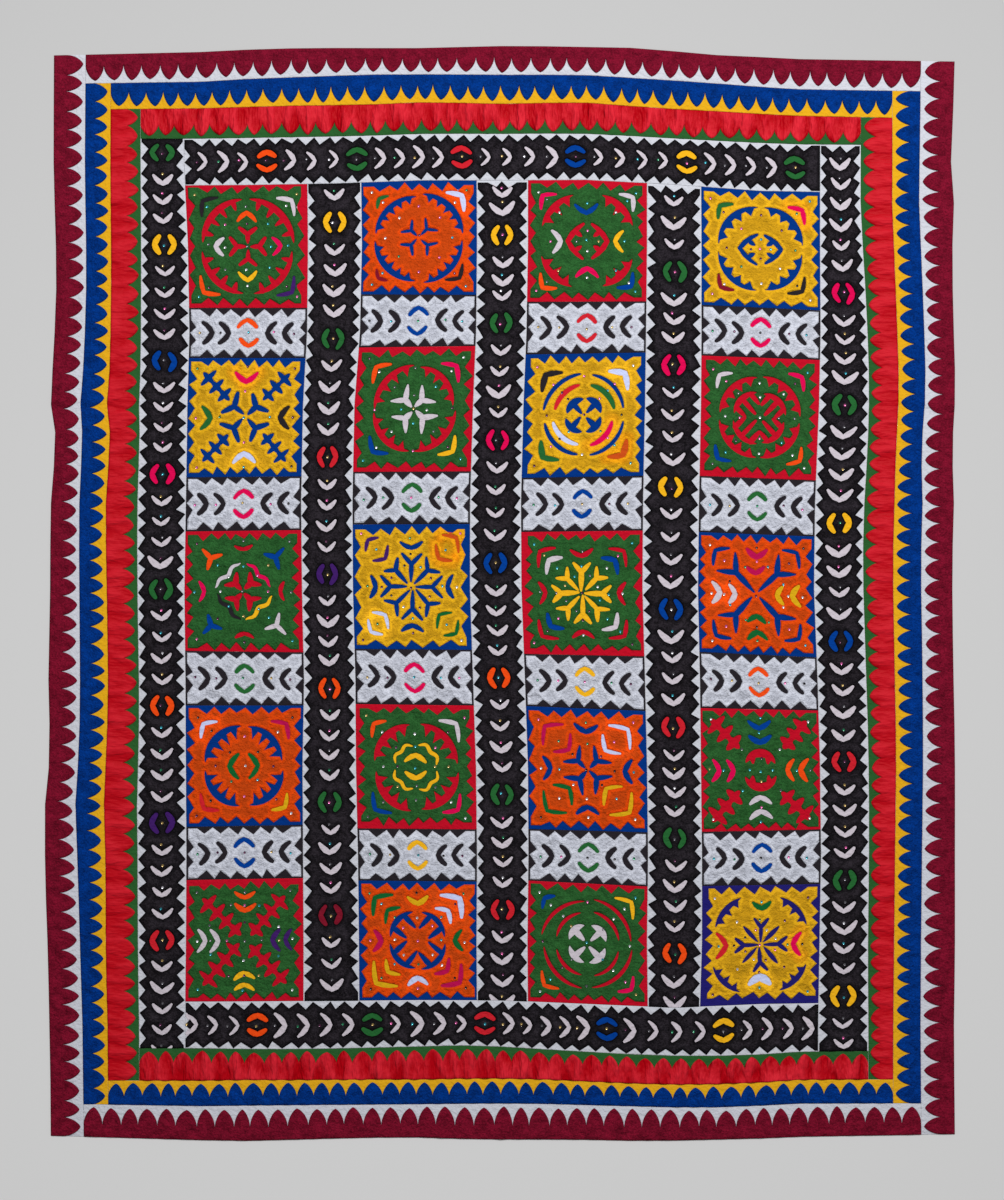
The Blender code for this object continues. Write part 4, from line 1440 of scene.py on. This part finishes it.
class QUILT_OT_stage(bpy.types.Operator):
    """Set the pale floor, the soft lights and the camera straight above"""

    bl_idname = "quilt.stage"
    bl_label = "Set the Stage"

    view_height: FloatProperty(name="View height", description="Length of floor that the view takes in",
                               default=2.4, min=0.5, unit="LENGTH")
    lens: FloatProperty(name="Lens", description="Focal length in millimetres", default=100.0, min=20)
    off_centre: FloatVectorProperty(name="Off centre", description="Where the view's middle is on the floor",
                                    size=2, default=(0.004, -0.013), unit="LENGTH")

    def execute(self, context):
        scene = context.scene
        floor_mesh = bpy.data.meshes.new("floor")
        low, high = -FLOOR_REACH, FLOOR_REACH
        spots = [(low, low, 0), (high, low, 0), (high, high, 0), (low, high, 0)]
        floor_mesh.from_pydata(spots, [], [(0, 1, 2, 3)])
        finish = Finish("floor_paper", Metallic=0.0, Roughness=0.9, Specular_IOR_Level=0.2)
        # Painted light and shade on the floor: lighter away from the softbox and darker near it.
        place = finish.node("ShaderNodeSeparateXYZ", {}, {0: finish.spot()})
        slope = Value(finish, place.outputs["Y"]) + Value(finish, place.outputs["X"]) * 0.3
        share = finish.ramp(slope, -FLOOR_FADE, FLOOR_FADE, "LINEAR")
        finish.give(Base_Color=finish.between(share, *(opaque(linear(code)) for code in FLOOR_PAINTED_LIGHT_GREYS)))
        floor_mesh.materials.append(finish.material)
        floor = bpy.data.objects.new("floor", floor_mesh)

        scene.world = bpy.data.worlds.new("studio")
        scene.world.use_nodes = True
        sky = scene.world.node_tree.nodes["Background"].inputs
        sky["Color"].default_value = (1, 1, 1, 1)
        sky["Strength"].default_value = SKY_STRENGTH
        lamp = bpy.data.lights.new("softbox", "AREA")
        lamp.shape = "DISK"
        lamp.size = LAMP_SIZE
        lamp.energy = LAMP_POWER
        light = bpy.data.objects.new("softbox", lamp)
        light.location = LAMP_PLACE
        light.rotation_euler = (-Vector(LAMP_PLACE)).to_track_quat("-Z", "Y").to_euler()

        camera_data = bpy.data.cameras.new("camera")
        camera_data.sensor_fit = "VERTICAL"
        camera_data.sensor_height = SENSOR_HEIGHT
        camera_data.lens = self.lens
        camera = bpy.data.objects.new("camera", camera_data)
        camera.location = (*self.off_centre, self.view_height * self.lens / SENSOR_HEIGHT)
        for thing in (floor, light, camera):
            scene.collection.objects.link(thing)
        scene.camera = camera
        scene.view_settings.view_transform = "Standard"
        return {"FINISHED"}


class QUILT_PT_panel(bpy.types.Panel):
    """Sizes, dyes and steps of the quilt"""

    bl_idname = "QUILT_PT_panel"
    bl_label = "Ralli Quilt"
    bl_space_type = "VIEW_3D"
    bl_region_type = "UI"
    bl_category = "Ralli Quilt"

    def draw(self, context):
        for group in (context.scene.quilt_sizes, context.scene.quilt_colours):
            box = self.layout.box()
            for name in group.__annotations__:
                box.prop(group, name)
        for step in STEPS:
            self.layout.operator(step.bl_idname)


STEPS = (QUILT_OT_border, QUILT_OT_bands, QUILT_OT_bars, QUILT_OT_blocks, QUILT_OT_patches, QUILT_OT_sequins,
         QUILT_OT_stage)
CLASSES = (QuiltSizes, QuiltColours, *STEPS, QUILT_PT_panel)


def register():
    for cls in CLASSES:
        bpy.utils.register_class(cls)
    bpy.types.Scene.quilt_sizes = PointerProperty(type=QuiltSizes)
    bpy.types.Scene.quilt_colours = PointerProperty(type=QuiltColours)


def unregister():
    del bpy.types.Scene.quilt_sizes
    del bpy.types.Scene.quilt_colours
    for cls in reversed(CLASSES):
        bpy.utils.unregister_class(cls)


def main():
    register()
    for number in range(len(BORDERS)):
        bpy.ops.quilt.border(ring=number)
    bpy.ops.quilt.bands()
    bpy.ops.quilt.bars()
    bpy.ops.quilt.blocks()
    bpy.ops.quilt.patches()
    bpy.ops.quilt.sequins()
    bpy.ops.quilt.stage()


if __name__ == "__main__":
    main()
